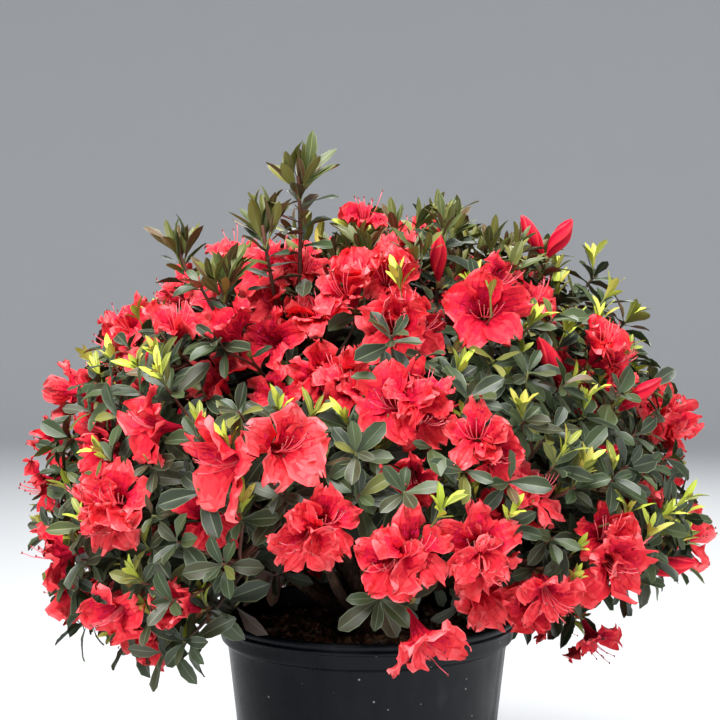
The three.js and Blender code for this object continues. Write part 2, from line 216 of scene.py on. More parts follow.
def wall_radius(height):
    """The outer radius of the pot's tapering wall at a height."""
    return BASE_RADIUS + (BODY_TOP_RADIUS - BASE_RADIUS) * height / BAND_FOOT


pot_profile = rounded(
    [
        [0.0001, 0.0012], [0.084, 0.0012], [0.086, 0.0], [BASE_RADIUS - 0.001, 0.0],
        *([wall_radius(height), height] for height in (0.004, 0.030, 0.120, 0.205)),
        [BODY_TOP_RADIUS, BAND_FOOT - 0.0025],
        [BODY_TOP_RADIUS + 0.0052, BAND_FOOT + 0.0005],
        [RIM_RADIUS - 0.0042, BAND_FOOT + 0.003],
        *([RIM_RADIUS - inward, POT_HEIGHT - under] for inward, under in LIP),
        [RIM_RADIUS - 0.0066, BAND_FOOT + 0.003],
        *([wall_radius(height) - WALL, height] for height in (BAND_FOOT, 0.003)),
        [0.0001, 0.003],
    ],
    reach=0.0014,
)
pot_shell = grid_surface("pot_shell", turned(pot_profile, POT_SIDES), [])


def box_points(low, high):
    """The eight corners of a box, as two rings of four from its low to its high corner."""
    ring = np.array([[0, 0], [1, 0], [1, 1], [0, 1]])
    corners = np.array([[*place, level] for level in (0, 1) for place in ring], float)
    return np.asarray(low) + corners * (np.asarray(high) - np.asarray(low))


def box_faces(copies):
    """The quads of a number of boxes whose corners lie one after another."""
    one = [[0, 3, 2, 1], [4, 5, 6, 7], [0, 1, 5, 4], [1, 2, 6, 5], [2, 3, 7, 6], [3, 0, 4, 7]]
    return (np.array(one) + 8 * np.arange(copies)[:, None, None]).reshape(-1, 4)


hole_block = box_points(
    (BASE_RADIUS - HOLE_REACH, -HOLE_HALF_WIDTH, HOLE_HEIGHTS[0]),
    (BASE_RADIUS + HOLE_REACH, HOLE_HALF_WIDTH, HOLE_HEIGHTS[1]),
)
hole_turns = [
    [[math.cos(angle), math.sin(angle), 0], [-math.sin(angle), math.cos(angle), 0], [0, 0, 1]]
    for angle in 2 * np.pi * (np.arange(DRAIN_HOLES) + 0.5) / DRAIN_HOLES
]
hole_cutter = surface(
    "hole_cutter", hole_block @ np.array(hole_turns), box_faces(DRAIN_HOLES), [], smooth=False
)
cut = pot_shell.modifiers.new("drain_holes", "BOOLEAN")
cut.operation = "DIFFERENCE"
cut.object = hole_cutter
cut.solver = "EXACT"
bpy.context.view_layer.update()
cut_pot = pot_shell.evaluated_get(bpy.context.evaluated_depsgraph_get())
cut_mesh = bpy.data.meshes.new_from_object(cut_pot)
pot_shell.modifiers.clear()
pot_shell.data = cut_mesh
bpy.data.objects.remove(hole_cutter)


class Pattern:
    """The nodes of a patterned finish. Each step adds one node and gives back its output."""

    def __init__(self, finish):
        self.tree = finish.node_tree
        self.place = self.add("TexCoord", {}, "Object")

    def add(self, kind, values, output=0, **links):
        """A node of a kind. The values are set on the node itself or on its inputs, and the
        links go to its inputs, by name or by a number after a _."""
        node = self.tree.nodes.new("ShaderNode" + kind)
        for key, value in values.items():
            if isinstance(key, str) and hasattr(node, key):
                setattr(node, key, value)
            else:
                node.inputs[key].default_value = value
        for key, source in links.items():
            self.tree.links.new(source, node.inputs[int(key[1:]) if key[0] == "_" else key])
        return node.outputs[output]

    def noise(self, place, scale, detail, roughness=0.5):
        """Noise of a scale, with finer layers of noise in it, each weaker by the roughness."""
        values = {"Scale": scale, "Detail": detail, "Roughness": roughness}
        return self.add("TexNoise", values, Vector=place)

    def stretched(self, scale):
        """The object's coordinates, each times its own scale."""
        return self.add("Mapping", {"Scale": scale}, Vector=self.place)

    def product(self, first, second):
        """One source times another."""
        return self.add("Math", {"operation": "MULTIPLY"}, _0=first, _1=second)

    def spread(self, source, ends, values):
        """A value that goes from the first of the values to the last between the source's ends."""
        ranges = {"From Min": ends[0], "From Max": ends[1], "To Min": values[0], "To Max": values[1]}
        return self.add("MapRange", ranges, Value=source)

    def ramp(self, source, stops):
        """The colour at each given place of a source, and even blends between them."""
        output = self.add("ValToRGB", {}, _0=source)
        elements = output.node.color_ramp.elements
        while len(elements) < len(stops):
            elements.new(0.5)
        for element, (place, colour) in zip(elements, stops):
            element.position = place
            element.color = (*colour, 1.0)
        return output

    def relief(self, source, strength, distance):
        """A slope for the light from a source taken as a height."""
        return self.add("Bump", {"Strength": strength, "Distance": distance}, Height=source)

    def feed(self, **sources):
        """Links sources to the finish's shader, by its inputs' names with _ for a space."""
        shader = self.tree.nodes["Principled BSDF"]
        for key, source in sources.items():
            self.tree.links.new(source, shader.inputs[key.replace("_", " ")])


black_plastic = plain_finish("black_plastic", (0.012, 0.013, 0.015), 0.42, 0.14)
pattern = Pattern(black_plastic)
rightward = pattern.add("SeparateXYZ", {}, "X", Vector=pattern.place)
dust = pattern.noise(pattern.place, 26.0, 8.0, 0.62)
streaks = pattern.noise(pattern.stretched((60.0, 60.0, 5.0)), 1.0, 4.0)
# Towards the right the dust grows stronger and the shine higher: partly dust, partly a painted sheen
# of sky light on that side.
dust_and_sheen = pattern.spread(rightward, DUST_AND_SHEEN_SIDES, DUST_AND_SHEEN_STRENGTH)
marks_and_sheen = pattern.product(dust, pattern.product(streaks, dust_and_sheen))
dust_and_sheen_colour = pattern.ramp(
    marks_and_sheen,
    [(0.16, (0.0028, 0.0038, 0.0056)), (0.34, (0.0065, 0.008, 0.0105)), (0.54, (0.028, 0.031, 0.034))],
)
spots = pattern.add("TexVoronoi", {"Scale": 70.0, "Randomness": 1.0}, "Distance", Vector=pattern.place)
spotted = pattern.ramp(spots, [(0.045, (1.0, 1.0, 1.0)), (0.075, (0.0, 0.0, 0.0))])
splash = {"data_type": "RGBA", 7: (0.30, 0.29, 0.27, 1.0)}
pattern.feed(
    Base_Color=pattern.add("Mix", splash, 2, _0=spotted, _6=dust_and_sheen_colour),
    Roughness=pattern.spread(marks_and_sheen, (0.15, 0.45), (0.26, 0.55)),
    Specular_IOR_Level=pattern.spread(rightward, DUST_AND_SHEEN_SIDES, PAINTED_SHEEN_SHINE),
    Normal=pattern.relief(pattern.noise(pattern.place, 900.0, 2.0), 0.12, 0.0006),
)
pot_shell.data.materials.clear()
pot_shell.data.materials.append(black_plastic)
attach(pot_shell, "root")
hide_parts("pot")

# The potting mix: composted bark and peat that fills the pot to a little under its lip. The
# surface is a rough mound, flat round the stump, with loose chips of bark lying on it.
MIX_TOP = 0.222
MIX_SIDES = 160
MOUND_RADII = [0.0, 0.034, 0.056, 0.085, 0.118, 0.128]
MOUND_HEIGHTS = [0.0, 0.0, 0.002, 0.001, -0.006, -0.010]
# The mix is even round the stump up to the first radius, and fully lumpy from the second.
CALM_RADII = [0.028, 0.045]
MIX_SKIRT_FOOT = 0.170
CHIPS = 2600
CHIP_SIZES = (0.0016, 0.0062)
CHIP_SHAPE = [1.0, 0.62, 0.34]
# The chips' colours and how often each comes.
CHIP_TONES = [
    ("dark", (0.045, 0.022, 0.013), 0.36),
    ("brown", (0.130, 0.056, 0.028), 0.38),
    ("tan", (0.30, 0.165, 0.090), 0.14),
    ("grey", (0.20, 0.155, 0.120), 0.12),
]


def uneven(points, scale, seed):
    """A smooth uneven height at each point: a sum of eight sine waves of seeded direction and
    phase over the points' places, from about -1 to 1."""
    draw = np.random.default_rng(seed)
    waves = draw.normal(size=(8, points.shape[-1])) * scale
    phases = draw.uniform(0, 2 * np.pi, 8)
    return np.sin(points @ waves.T + phases).sum(axis=-1) / 4.0


def mound(radius):
    """The mound's height over the mix's level at a radius, by straight lines between six."""
    return np.interp(radius, MOUND_RADII, MOUND_HEIGHTS)


def lumps(places):
    """The lumps' height at places on the mix: a coarse and a fine unevenness."""
    return 0.0022 * uneven(places, 55.0, 3) + 0.0012 * uneven(places, 210.0, 4)


mix_radius = np.concatenate([np.linspace(0.0005, 0.1262, 48), [0.1264, 0.1212]])
mix_points = turned(np.stack([mix_radius, np.full_like(mix_radius, MIX_TOP)], axis=1), MIX_SIDES)
calm = np.interp(mix_radius, CALM_RADII, [0.0, 1.0])[:, None]
mix_points[..., 2] += mound(mix_radius)[:, None] + lumps(mix_points[..., :2]) * calm
mix_points[-1, :, 2] = MIX_SKIRT_FOOT
mix_bed = grid_surface("mix_bed", mix_points, [])

draw = np.random.default_rng(11)
chip_reach = 0.031 + 0.089 * np.sqrt(draw.uniform(0, 1, CHIPS))
chip_angle = draw.uniform(0, 2 * np.pi, CHIPS)
chip_centre = np.stack([chip_reach * np.cos(chip_angle), chip_reach * np.sin(chip_angle)], axis=1)
chip_height = MIX_TOP + mound(chip_reach) + lumps(chip_centre)
chip_size = draw.uniform(*CHIP_SIZES, (CHIPS, 1)) * np.array([CHIP_SHAPE])
chip_corners = box_points((-1, -1, -1), (1, 1, 1)) * draw.uniform(0.55, 1.0, (CHIPS, 8, 1))
chip_lean = np.linalg.qr(draw.normal(size=(CHIPS, 3, 3)) * [1, 1, 0.35] + np.eye(3) * 1.2)[0]
chip_points = np.einsum("nij,nkj->nki", chip_lean, chip_corners * chip_size[:, None, :])
chip_points += np.column_stack([chip_centre, chip_height + 0.0012])[:, None, :]
chips = surface(
    "bark_chips",
    chip_points,
    box_faces(CHIPS),
    [plain_finish(f"bark_chip_{name}", colour, 0.9, 0.25) for name, colour, share in CHIP_TONES],
    np.repeat(draw.choice(4, CHIPS, p=[share for name, colour, share in CHIP_TONES]), 6),
    smooth=False,
)
damp_mix = plain_finish("damp_mix", (0.03, 0.016, 0.010), 0.95, 0.2)
pattern = Pattern(damp_mix)
crumbs = pattern.noise(pattern.place, 160.0, 9.0, 0.7)
crumb_colour = pattern.ramp(
    crumbs,
    [(0.35, (0.010, 0.006, 0.004)), (0.55, (0.036, 0.019, 0.011)), (0.72, (0.10, 0.058, 0.034))],
)
pattern.feed(Base_Color=crumb_colour, Normal=pattern.relief(crumbs, 0.9, 0.002))
mix_bed.data.materials.append(damp_mix)
for piece in (mix_bed, chips):
    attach(piece, "root")
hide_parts("potting_mix")

# The wood: a short flared stump that forks at once into fourteen boughs, one to each mass of
# foliage. The bark is thin, grey-brown and finely furrowed, and the boughs climb away from the
# stump and lean out under the crown. Their places follow the same rule as the solids do.
STUMP_FOOT_RADIUS = 0.027
STUMP_WAIST_RADIUS = 0.015
STUMP_HEIGHT = 0.030
STUMP_SIDES = 64
STUMP_RIBS = 7
STUB_LENGTH = 0.026
CROWN_MIDDLE = np.array([0.0, 0.0, 0.345])
CROWN_RADIUS = 0.285
CROWN_RISE = 0.235
BOUGH_SHARE = 0.42
STEM_SHARE = 0.64
BOUGH_GIRTH = (0.0052, 0.0036)
BOUGH_SIDES = 14
FURROW_DEPTH = 0.07
KNOB_DEPTH = 0.10
STEM_GIRTH = (0.0036, 0.0026)
# A ring of masses: its name, how many, first bearing, elevation, height of fork, slope.
RINGS = [
    ("skirt", 8, -157.0, 0.0, 0.009, 24.0),
    ("shoulder", 5, -126.0, 42.0, 0.022, 58.0),
    ("top", 1, -90.0, 86.0, 0.028, 88.0),
]


def facing(bearing, elevation):
    """The unit direction at a bearing and elevation in degrees."""
    b, e = math.radians(bearing), math.radians(elevation)
    return np.array([math.cos(e) * math.cos(b), math.cos(e) * math.sin(b), math.sin(e)])


def dome_point(bearing, elevation, reach):
    """A point on the crown's dome, or at a share of its reach: the heart of the crown plus the
    unit direction times the dome's radius across and its rise upwards."""
    return CROWN_MIDDLE + facing(bearing, elevation) * [CROWN_RADIUS, CROWN_RADIUS, CROWN_RISE] * reach


def unit(vectors):
    """Each vector divided by its length."""
    return vectors / np.maximum(np.linalg.norm(vectors, axis=-1, keepdims=True), 1e-12)


def along_curve(controls, shares):
    """Points and headings at shares of the length of a Bezier curve: the curve's polynomial at
    48 even steps, read off by the length run so far."""
    controls = np.asarray(controls, float)
    t = np.linspace(0, 1, 49)[:, None]
    order = len(controls) - 1
    weights = [math.comb(order, i) * t**i * (1 - t) ** (order - i) for i in range(order + 1)]
    line = sum(weight * control for weight, control in zip(weights, controls))
    run = np.concatenate([[0], np.cumsum(np.linalg.norm(np.diff(line, axis=0), axis=1))])
    lengths = np.asarray(shares, float) * run[-1]
    slope = np.gradient(line, axis=0)
    here = [np.interp(lengths, run, line[:, axis]) for axis in range(3)]
    heading = [np.interp(lengths, run, slope[:, axis]) for axis in range(3)]
    return np.stack(here, axis=-1), unit(np.stack(heading, axis=-1))


def carried_rings(lines, girths, sides):
    """Rings carried along lines: about each point of each line, a circle of the girth there,
    square to the line's heading. One direction square to the line's chord sets where each
    circle starts, so that the limb doesn't twist."""
    headings = unit(np.gradient(lines, axis=1))
    chord = unit(lines[:, -1] - lines[:, 0])
    aside = np.where(np.abs(chord[:, 2:]) < 0.9, [[0.0, 0.0, 1.0]], [[1.0, 0.0, 0.0]])
    aside = unit(np.cross(chord, aside))[:, None, :]
    first = unit(np.cross(headings, aside))
    second = np.cross(headings, first)
    angle = np.linspace(0, 2 * np.pi, sides, endpoint=False)[:, None]
    circle = first[:, :, None, :] * np.cos(angle) + second[:, :, None, :] * np.sin(angle)
    return lines[:, :, None, :] + circle * girths[..., None, None]


masses = []
for ring, count, first_bearing, elevation, fork_height, slope in RINGS:
    for i in range(count):
        bearing = first_bearing + i * 360.0 / count
        fork = np.array([0.0, 0.0, MIX_TOP + fork_height])
        heading = facing(bearing, slope)
        tip = dome_point(bearing, elevation, BOUGH_SHARE)
        middle = dome_point(bearing, elevation, STEM_SHARE)
        start = fork + heading * STUB_LENGTH
        bough = [start, start + heading * np.linalg.norm(tip - start) / 2, tip]
        onward = along_curve(bough, [1.0])[1][0]
        stem = [tip, tip + onward * np.linalg.norm(middle - tip) / 2, middle]
        name = f"{ring}_{i + 1}" if count > 1 else ring
        masses.append({"name": name, "fork": fork, "bough": bough, "stem": stem, "middle": middle})

bough_lines = []
for mass in masses:
    stub = np.linspace(mass["fork"], mass["bough"][0], 5)[:-1]
    bough_lines.append(np.vstack([stub, along_curve(mass["bough"], np.linspace(0, 1, 27))[0]]))
bough_lines = np.array(bough_lines)
bough_share = np.linspace(0, 1, bough_lines.shape[1])
bough_girth = BOUGH_GIRTH[1] + (BOUGH_GIRTH[0] * 1.12 - BOUGH_GIRTH[1]) * (1 - bough_share) ** 1.2
bough_girth = np.broadcast_to(bough_girth, bough_lines.shape[:2])
bough_points = carried_rings(bough_lines, bough_girth, BOUGH_SIDES)
bough_middles = bough_lines[:, :, None, :]
furrows = FURROW_DEPTH * uneven(bough_points * [1.0, 1.0, 0.35], 420.0, 21)[..., None]
knobs = KNOB_DEPTH * uneven(bough_points, 110.0, 22)[..., None]
bough_points = bough_middles + (bough_points - bough_middles) * (1 + furrows + knobs)
boughs = grid_surface("boughs", bough_points, [])

stump_profile = rounded(
    [
        [STUMP_FOOT_RADIUS, MIX_TOP - 0.002],
        [STUMP_FOOT_RADIUS - 0.003, MIX_TOP + 0.002],
        [STUMP_FOOT_RADIUS - 0.008, MIX_TOP + 0.006],
        [STUMP_WAIST_RADIUS + 0.002, MIX_TOP + 0.014],
        [STUMP_WAIST_RADIUS, MIX_TOP + 0.021],
        [STUMP_WAIST_RADIUS - 0.004, MIX_TOP + STUMP_HEIGHT - 0.001],
        [0.0002, MIX_TOP + STUMP_HEIGHT + 0.003],
    ],
    reach=0.004,
)
stump_points = turned(stump_profile, STUMP_SIDES)
round_stump = np.linspace(0, 2 * np.pi, STUMP_SIDES, endpoint=False)
ribs = np.cos(STUMP_RIBS * round_stump)[None, :, None]
flare = np.linspace(1, 0, len(stump_profile))[:, None, None]
stump_points[..., :2] *= 1 + 0.10 * ribs * flare + 0.05 * uneven(stump_points, 260.0, 23)[..., None]
stump = grid_surface("stump_bark", stump_points, [])

thin_bark = plain_finish("thin_bark", (0.09, 0.05, 0.035), 0.85, 0.3)
pattern = Pattern(thin_bark)
fibres = pattern.noise(pattern.stretched((1.0, 1.0, 0.28)), 520.0, 6.0, 0.65)
patches = pattern.noise(pattern.place, 60.0, 3.0)
fibre_colour = pattern.ramp(
    fibres,
    [(0.30, (0.026, 0.013, 0.009)), (0.50, (0.085, 0.046, 0.030)), (0.70, (0.19, 0.125, 0.088))],
)
patch_colour = pattern.ramp(patches, [(0.40, (0.55, 0.48, 0.44)), (0.62, (1.0, 0.94, 0.86))])
blend = {"data_type": "RGBA", "blend_type": "MULTIPLY", "Factor": 1.0}
bark_colour = pattern.add("Mix", blend, 2, _6=fibre_colour, _7=patch_colour)
pattern.feed(Base_Color=bark_colour, Normal=pattern.relief(fibres, 0.8, 0.0012))
for piece in (boughs, stump):
    piece.data.materials.append(thin_bark)
    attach(piece, "root")
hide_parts(*[f"bough_{mass['name']}" for mass in masses])
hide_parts("stump")

# The twigs: every bough goes on as a stem inside its mass, and the stem forks into twigs, one
# to a shoot. The solids' shoots come first, by the same rule and in the same order, and finer
# ones then fork off the nearest of those twigs until the dome and its inside are filled.
SHOOT_SPACING = 0.058
SHOOT_TRIES = 1500
SHOOT_REACH = (0.88, 1.02)
BLOOM_SHARE = 0.36
LOWEST_ELEVATION = -26.0
FINE_SPACING = 0.0275
FINE_TRIES = 9000
FINE_REACH = (0.88, 1.03)
FINE_BLOOM_SHARE = 0.36
FRONT_BLOOM_SHARE = 0.055
FRONT_BEARINGS = (190.0, 350.0)
FINE_LOWEST = -38.0
INNER_SPACING = 0.034
INNER_TRIES = 5600
INNER_REACH = (0.56, 0.85)
INNER_BLOOM_SHARE = 0.34
BLOOM_SINK = 0.05
# Above this elevation fine leafy shoots stand out by up to the lift, or between the bearings of
# the upper left sit lower by the sink.
TOP_FROM = 42.0
TOP_LIFT = 0.07
UPPER_LEFT = (95.0, 262.0)
UPPER_LEFT_SINK = 0.10
# The two steps of a sequence of pairs that spreads evenly.
EVEN_STEPS = (0.7548776662466927, 0.5698402909980532)
TWIG_BOW = 1 / 3
TWIG_SIDES = 4
# How much of its shoot's aim is in a twig's first heading, and between which shares of the stem
# it forks off. The tallest shoots fork off low and rise straight away. A fine or an inner twig
# forks off another twig.
TWIG_RISE = 0.35
TWIG_FORK = (0.2, 0.95)
LEADER_RISE = 0.9
LEADER_FORK = (0.1, 0.4)
FINE_FORK = (0.45, 0.85)
INNER_FORK = (0.15, 0.6)
# Gaps in the dome, by bearing, width, lowest and highest elevation and the reach from which they
# are open. Low at the front the crown is open, so that the pot's rim shows, and on the right its
# skirt ends higher. Then comes a hollow where bare stems show, and the last one ends the front
# half's skirt.
GAPS = [
    (-90.0, 58.0, -90.0, 3.0, 0.5),
    (-22.0, 78.0, -90.0, -12.0, 0.7),
    (-104.0, 34.0, 25.0, 62.0, 0.8),
    (-90.0, 200.0, -90.0, -26.0, 0.0),
]
# Shoots that the shrub is known by, by what they end in: bearing, elevation and reach, and for a
# truss each flower's bearing, elevation, how far it is open, and size.
MARKED_SHOOTS = [
    ("bloom", [
        (-107, 17, 0.95, (-136, -12, 1.0, 1.15), (-58, 8, 1.0, 0.95)),
        (-124, 21, 0.93, (-150, 6, 1.0, 0.85)),
        (-134, 5, 0.94, (-150, 10, 1.0, 0.8), (-100, 12, 1.0, 0.75), (-118, -32, 1.0, 0.7)),
        (-166, 7, 0.94, (-160, -22, 1.0, 0.7)),
        (-146, -6, 0.95, (-170, -8, 0.8, 0.8)),
        (-166, 41, 0.94, (-125, 30, 1.0, 0.75), (-150, -8, 1.0, 0.65)),
        (-93, 52, 0.92, (-95, 64, 0.4, 0.8), (-120, 34, 0.9, 0.7)),
        (-84, 58, 0.93, (-75, 64, 0.45, 0.7), (-84, 24, 1.0, 0.7)),
        (-67, 57, 0.96, (-95, 68, 0.1, 0.8)),
        (-82, 46, 0.90, (-98, 6, 1.0, 0.8), (-52, 6, 1.0, 0.7), (-80, 50, 0.8, 0.6)),
        (-127, 66, 0.86, (-64, 56, 0.8, 0.7)),
        (-108, 55, 0.76, (-80, 56, 1.0, 0.75), (-140, 50, 0.9, 0.7)),
        (-119, 40, 0.88, (-150, 52, 0.3, 0.8)),
        (-93, 34, 0.76, (-95, 24, 1.0, 0.8), (-140, 60, 0.8, 0.7), (-62, 10, 1.0, 0.7)),
        (-83, 26, 0.92, (-112, 10, 1.0, 0.8), (-66, 30, 1.0, 0.75), (-60, -14, 1.0, 0.7)),
        (-60, 47, 0.95, (-92, 6, 1.0, 0.95)),
        (-14, 58, 1.08, (-168, 60, 0.1, 0.85), (-24, 56, 0.15, 0.8)),
        (-46, 30, 0.92, (-140, 50, 0.1, 0.8)),
        (-35, 34, 0.94, (-64, 46, 0.5, 0.7), (-36, 10, 1.0, 0.7)),
        (-12, 19, 0.93, (-42, -10, 1.0, 0.8), (-60, 24, 1.0, 0.7)),
        (-34, 23, 0.93, (-25, 38, 0.15, 0.8)),
        (-71, 19, 0.94, (-100, 14, 1.0, 0.65), (-62, -22, 1.0, 0.65)),
        (-133, -12, 0.94, (-132, -40, 1.0, 0.8)),
        (-98, 4, 0.94, (-104, -24, 1.0, 0.75), (-72, 8, 1.0, 0.7)),
        (-85, -2, 0.95, (-70, 14, 1.0, 0.8), (-108, -8, 1.0, 0.7)),
        (-73, -1, 0.92, (-84, 8, 1.0, 0.8), (-68, -30, 1.0, 0.7)),
        (-84, -12, 0.94, (-48, -50, 0.7, 0.95)),
        (-49, -3, 0.93, (-64, -24, 1.0, 0.85), (-38, 4, 1.0, 0.7), (-74, 28, 1.0, 0.65)),
        (-61, -7, 0.93, (-72, -38, 1.0, 0.7)),
        (-96, 78, 1.02, (-70, 50, 1.0, 0.6)),
    ]),
    ("leader", [
        (-113, 67, 1.31), (-122, 61, 1.18), (-127, 50, 1.09), (-158, 57, 1.16), (130, 50, 1.12),
    ]),
    ("leaves", [
        (-53, 77, 1.05), (-21, 73, 1.05), (-14, 49, 1.03), (-4, 50, 1.14), (-12, 40, 1.08),
        (8, 58, 1.06), (-40, 62, 1.05), (-75, 68, 1.04), (-140, 52, 1.05), (-128, -24, 1.0),
        (-122, -12, 1.0), (-152, 22, 1.0), (-88, -10, 0.97), (-103, 9, 1.0), (-58, 20, 1.0),
        (-112, -4, 1.0), (-56, 9, 1.0), (-127, 13, 1.0),
    ]),
]
# Inner shoots over the pot's rim, in the hollow and behind the front's leaves, that close the
# view into the crown, and their flowers.
DEEP_SHOOTS = [
    ("bloom", [(-66, -14, 0.72), (-56, -22, 0.76)]),
    ("leaves", [(-70, -20, 0.62), (-62, -26, 0.68)]),
    ("bloom", [
        (-59, -16, 0.80, (-62, -6, 1.0, 0.7)),
        (-112, 34, 0.70), (-118, 52, 0.72), (-151, 60, 0.72), (-149, 56, 0.84), (-128, 34, 0.76),
        (-117, 49, 0.76, (-124, 22, 1.0, 0.75)),
        (-104, 40, 0.72, (-84, 14, 1.0, 0.75)),
        (-126, 62, 0.81, (-136, 20, 1.0, 0.8)),
        (-141, 66, 0.88, (-104, 36, 1.0, 0.85)),
        (-86, 44, 0.74), (-45, 13, 0.84),
        (-67, 4, 0.84, (-62, 20, 1.0, 0.7)),
        (-144, 32, 0.86, (-120, 36, 1.0, 0.7)),
        (-146, 14, 0.86, (-128, 12, 1.0, 0.7)),
        (-158, 2, 0.86), (-120, -10, 0.84),
    ]),
    ("leaves", [
        (-122, 14, 0.76), (-111, 12, 0.72), (-100, 14, 0.74), (-90, 12, 0.72), (-114, 22, 0.82),
        (-104, 22, 0.84), (-94, 20, 0.82), (-108, 8, 0.82), (-97, 8, 0.84),
    ]),
]
# How much a shoot's aim is lifted from straight outwards, by what it ends in.
AIM_LIFT = {"bloom": 0.12, "leader": 1.5, "leaves": 0.4}


def chance(shoot, question):
    """A number from 0 to 1 that depends only on the shoot's number and on what is asked: the
    fraction of 43758.5453 sin(127.1 shoot + 311.7 question)."""
    return math.sin(shoot * 127.1 + question * 311.7) * 43758.5453 % 1.0


def between(low, high, share):
    """The value a share of the way from low to high."""
    return low + (high - low) * share


shoots = []


def add_shoot(end, layer, bearing, elevation, reach, *flowers):
    """Adds a shoot whose tip lies on the dome. It aims outwards and a little up."""
    tip = dome_point(bearing, elevation, reach)
    aim = unit(unit(tip - CROWN_MIDDLE) + [0.0, 0.0, AIM_LIFT[end]])
    shoots.append(
        {
            "number": len(shoots), "tip": tip, "aim": aim, "elevation": elevation,
            "end": end, "layer": layer, "flowers": flowers,
        }
    )


def fill_dome(tries, spacing, layer, lowest_elevation, reach_range, end_of):
    """Goes through a sequence that spreads evenly over the dome, and adds a shoot wherever it
    is in no gap and clears every earlier tip by the spacing. Fine leafy shoots near the top
    stand out a little more, each by its own part of the lift. On the upper left they sit lower,
    so that sky shows between the tallest shoots."""
    tips = np.array([shoot["tip"] for shoot in shoots])
    lowest = math.sin(math.radians(lowest_elevation))
    for n in range(1, tries + 1):
        bearing = 360 * (n * EVEN_STEPS[0] % 1.0)
        elevation = math.degrees(math.asin(between(lowest, 1, n * EVEN_STEPS[1] % 1.0)))
        end = end_of(n, bearing, elevation)
        reach = between(*reach_range, chance(n, 1)) - (BLOOM_SINK if end == "bloom" else 0)
        if end == "leaves" and elevation > TOP_FROM and layer == "fine":
            upper_left = UPPER_LEFT[0] < bearing < UPPER_LEFT[1]
            reach += -UPPER_LEFT_SINK if upper_left else TOP_LIFT * chance(n, 4)
        in_gap = any(
            abs((bearing - middle + 180) % 360 - 180) < width / 2
            and low < elevation < high
            and reach > depth
            for middle, width, low, high, depth in GAPS
        )
        tip = dome_point(bearing, elevation, reach)
        if not in_gap and np.linalg.norm(tips - tip, axis=1).min() > spacing:
            add_shoot(end, layer, bearing, elevation, reach)
            tips = np.vstack([tips, tip])


def first_end(n, bearing, elevation):
    """What one of the solids' shoots ends in."""
    return "bloom" if chance(n, 2) < BLOOM_SHARE else "leaves"


def fine_end(n, bearing, elevation):
    """What a fine shoot ends in. At the front, where the trusses are marked, and on the top
    fewer of them flower."""
    front = FRONT_BEARINGS[0] < bearing < FRONT_BEARINGS[1]
    share = FRONT_BLOOM_SHARE if front else FINE_BLOOM_SHARE
    return "bloom" if chance(n, 3) < share * (1 if elevation < 60 else 0.5) else "leaves"


def inner_end(n, bearing, elevation):
    """What an inner shoot ends in. Only those that come near the outside flower."""
    return "bloom" if chance(n, 3) < INNER_BLOOM_SHARE and chance(n, 1) > 0.45 else "leaves"


def twig_curve(foot, heading, shoot):
    """The controls of a twig's curve: it leaves its foot along a heading and comes to the
    shoot's tip along its aim, each for a third of the way."""
    bow = np.linalg.norm(shoot["tip"] - foot) * TWIG_BOW
    return [foot, foot + heading * bow, shoot["tip"] - shoot["aim"] * bow, shoot["tip"]]


for end, places in MARKED_SHOOTS:
    for place in places:
        add_shoot(end, "marked", *place)
fill_dome(SHOOT_TRIES, SHOOT_SPACING, "first", LOWEST_ELEVATION, SHOOT_REACH, first_end)
for shoot in shoots:
    gaps = [np.linalg.norm(mass["middle"] - shoot["tip"]) for mass in masses]
    stem = masses[int(np.argmin(gaps))]["stem"]
    leader = shoot["end"] == "leader"
    fork, rise = (LEADER_FORK, LEADER_RISE) if leader else (TWIG_FORK, TWIG_RISE)
    foot, heading = along_curve(stem, [between(*fork, chance(shoot["number"], 5))])
    shoot["twig"] = twig_curve(foot[0], unit(between(heading[0], shoot["aim"], rise)), shoot)
first_shoots = len(shoots)
first_tips = np.array([shoot["tip"] for shoot in shoots])

fill_dome(FINE_TRIES, FINE_SPACING, "fine", FINE_LOWEST, FINE_REACH, fine_end)
for end, places in DEEP_SHOOTS:
    for place in places:
        add_shoot(end, "inner", *place)
fill_dome(INNER_TRIES, INNER_SPACING, "inner", FINE_LOWEST, INNER_REACH, inner_end)
for shoot in shoots[first_shoots:]:
    mother = shoots[int(np.argmin(np.linalg.norm(first_tips - shoot["tip"], axis=1)))]
    span = INNER_FORK if shoot["layer"] == "inner" else FINE_FORK
    foot, heading = along_curve(mother["twig"], [between(*span, chance(shoot["number"], 6))])
    shoot["twig"] = twig_curve(foot[0], unit(heading[0] + shoot["aim"] * 0.5), shoot)


def twig_mesh(name, curves, steps, girths, finishes, finish_of_curve=0):
    """Twigs along Bezier curves, tapering from the first girth to the last, each with a cap."""
    shares = np.linspace(0, 1, steps)
    lines = np.array([along_curve(curve, shares)[0] for curve in curves])
    first, last = np.broadcast_to(np.asarray(girths, float), (len(curves), 2)).T
    girth = first[:, None] + (last - first)[:, None] * shares
    points = carried_rings(lines, girth, TWIG_SIDES)
    walls = grid_faces(len(curves), steps, TWIG_SIDES, closed=True)
    starts = steps * TWIG_SIDES * np.arange(len(curves))[:, None]
    caps = (steps - 1) * TWIG_SIDES + np.arange(TWIG_SIDES) + starts
    kinds = np.broadcast_to(finish_of_curve, len(curves))
    finish = np.concatenate([np.repeat(kinds, (steps - 1) * TWIG_SIDES), kinds])
    return surface(name, points, np.vstack([walls, caps]), finishes, finish)


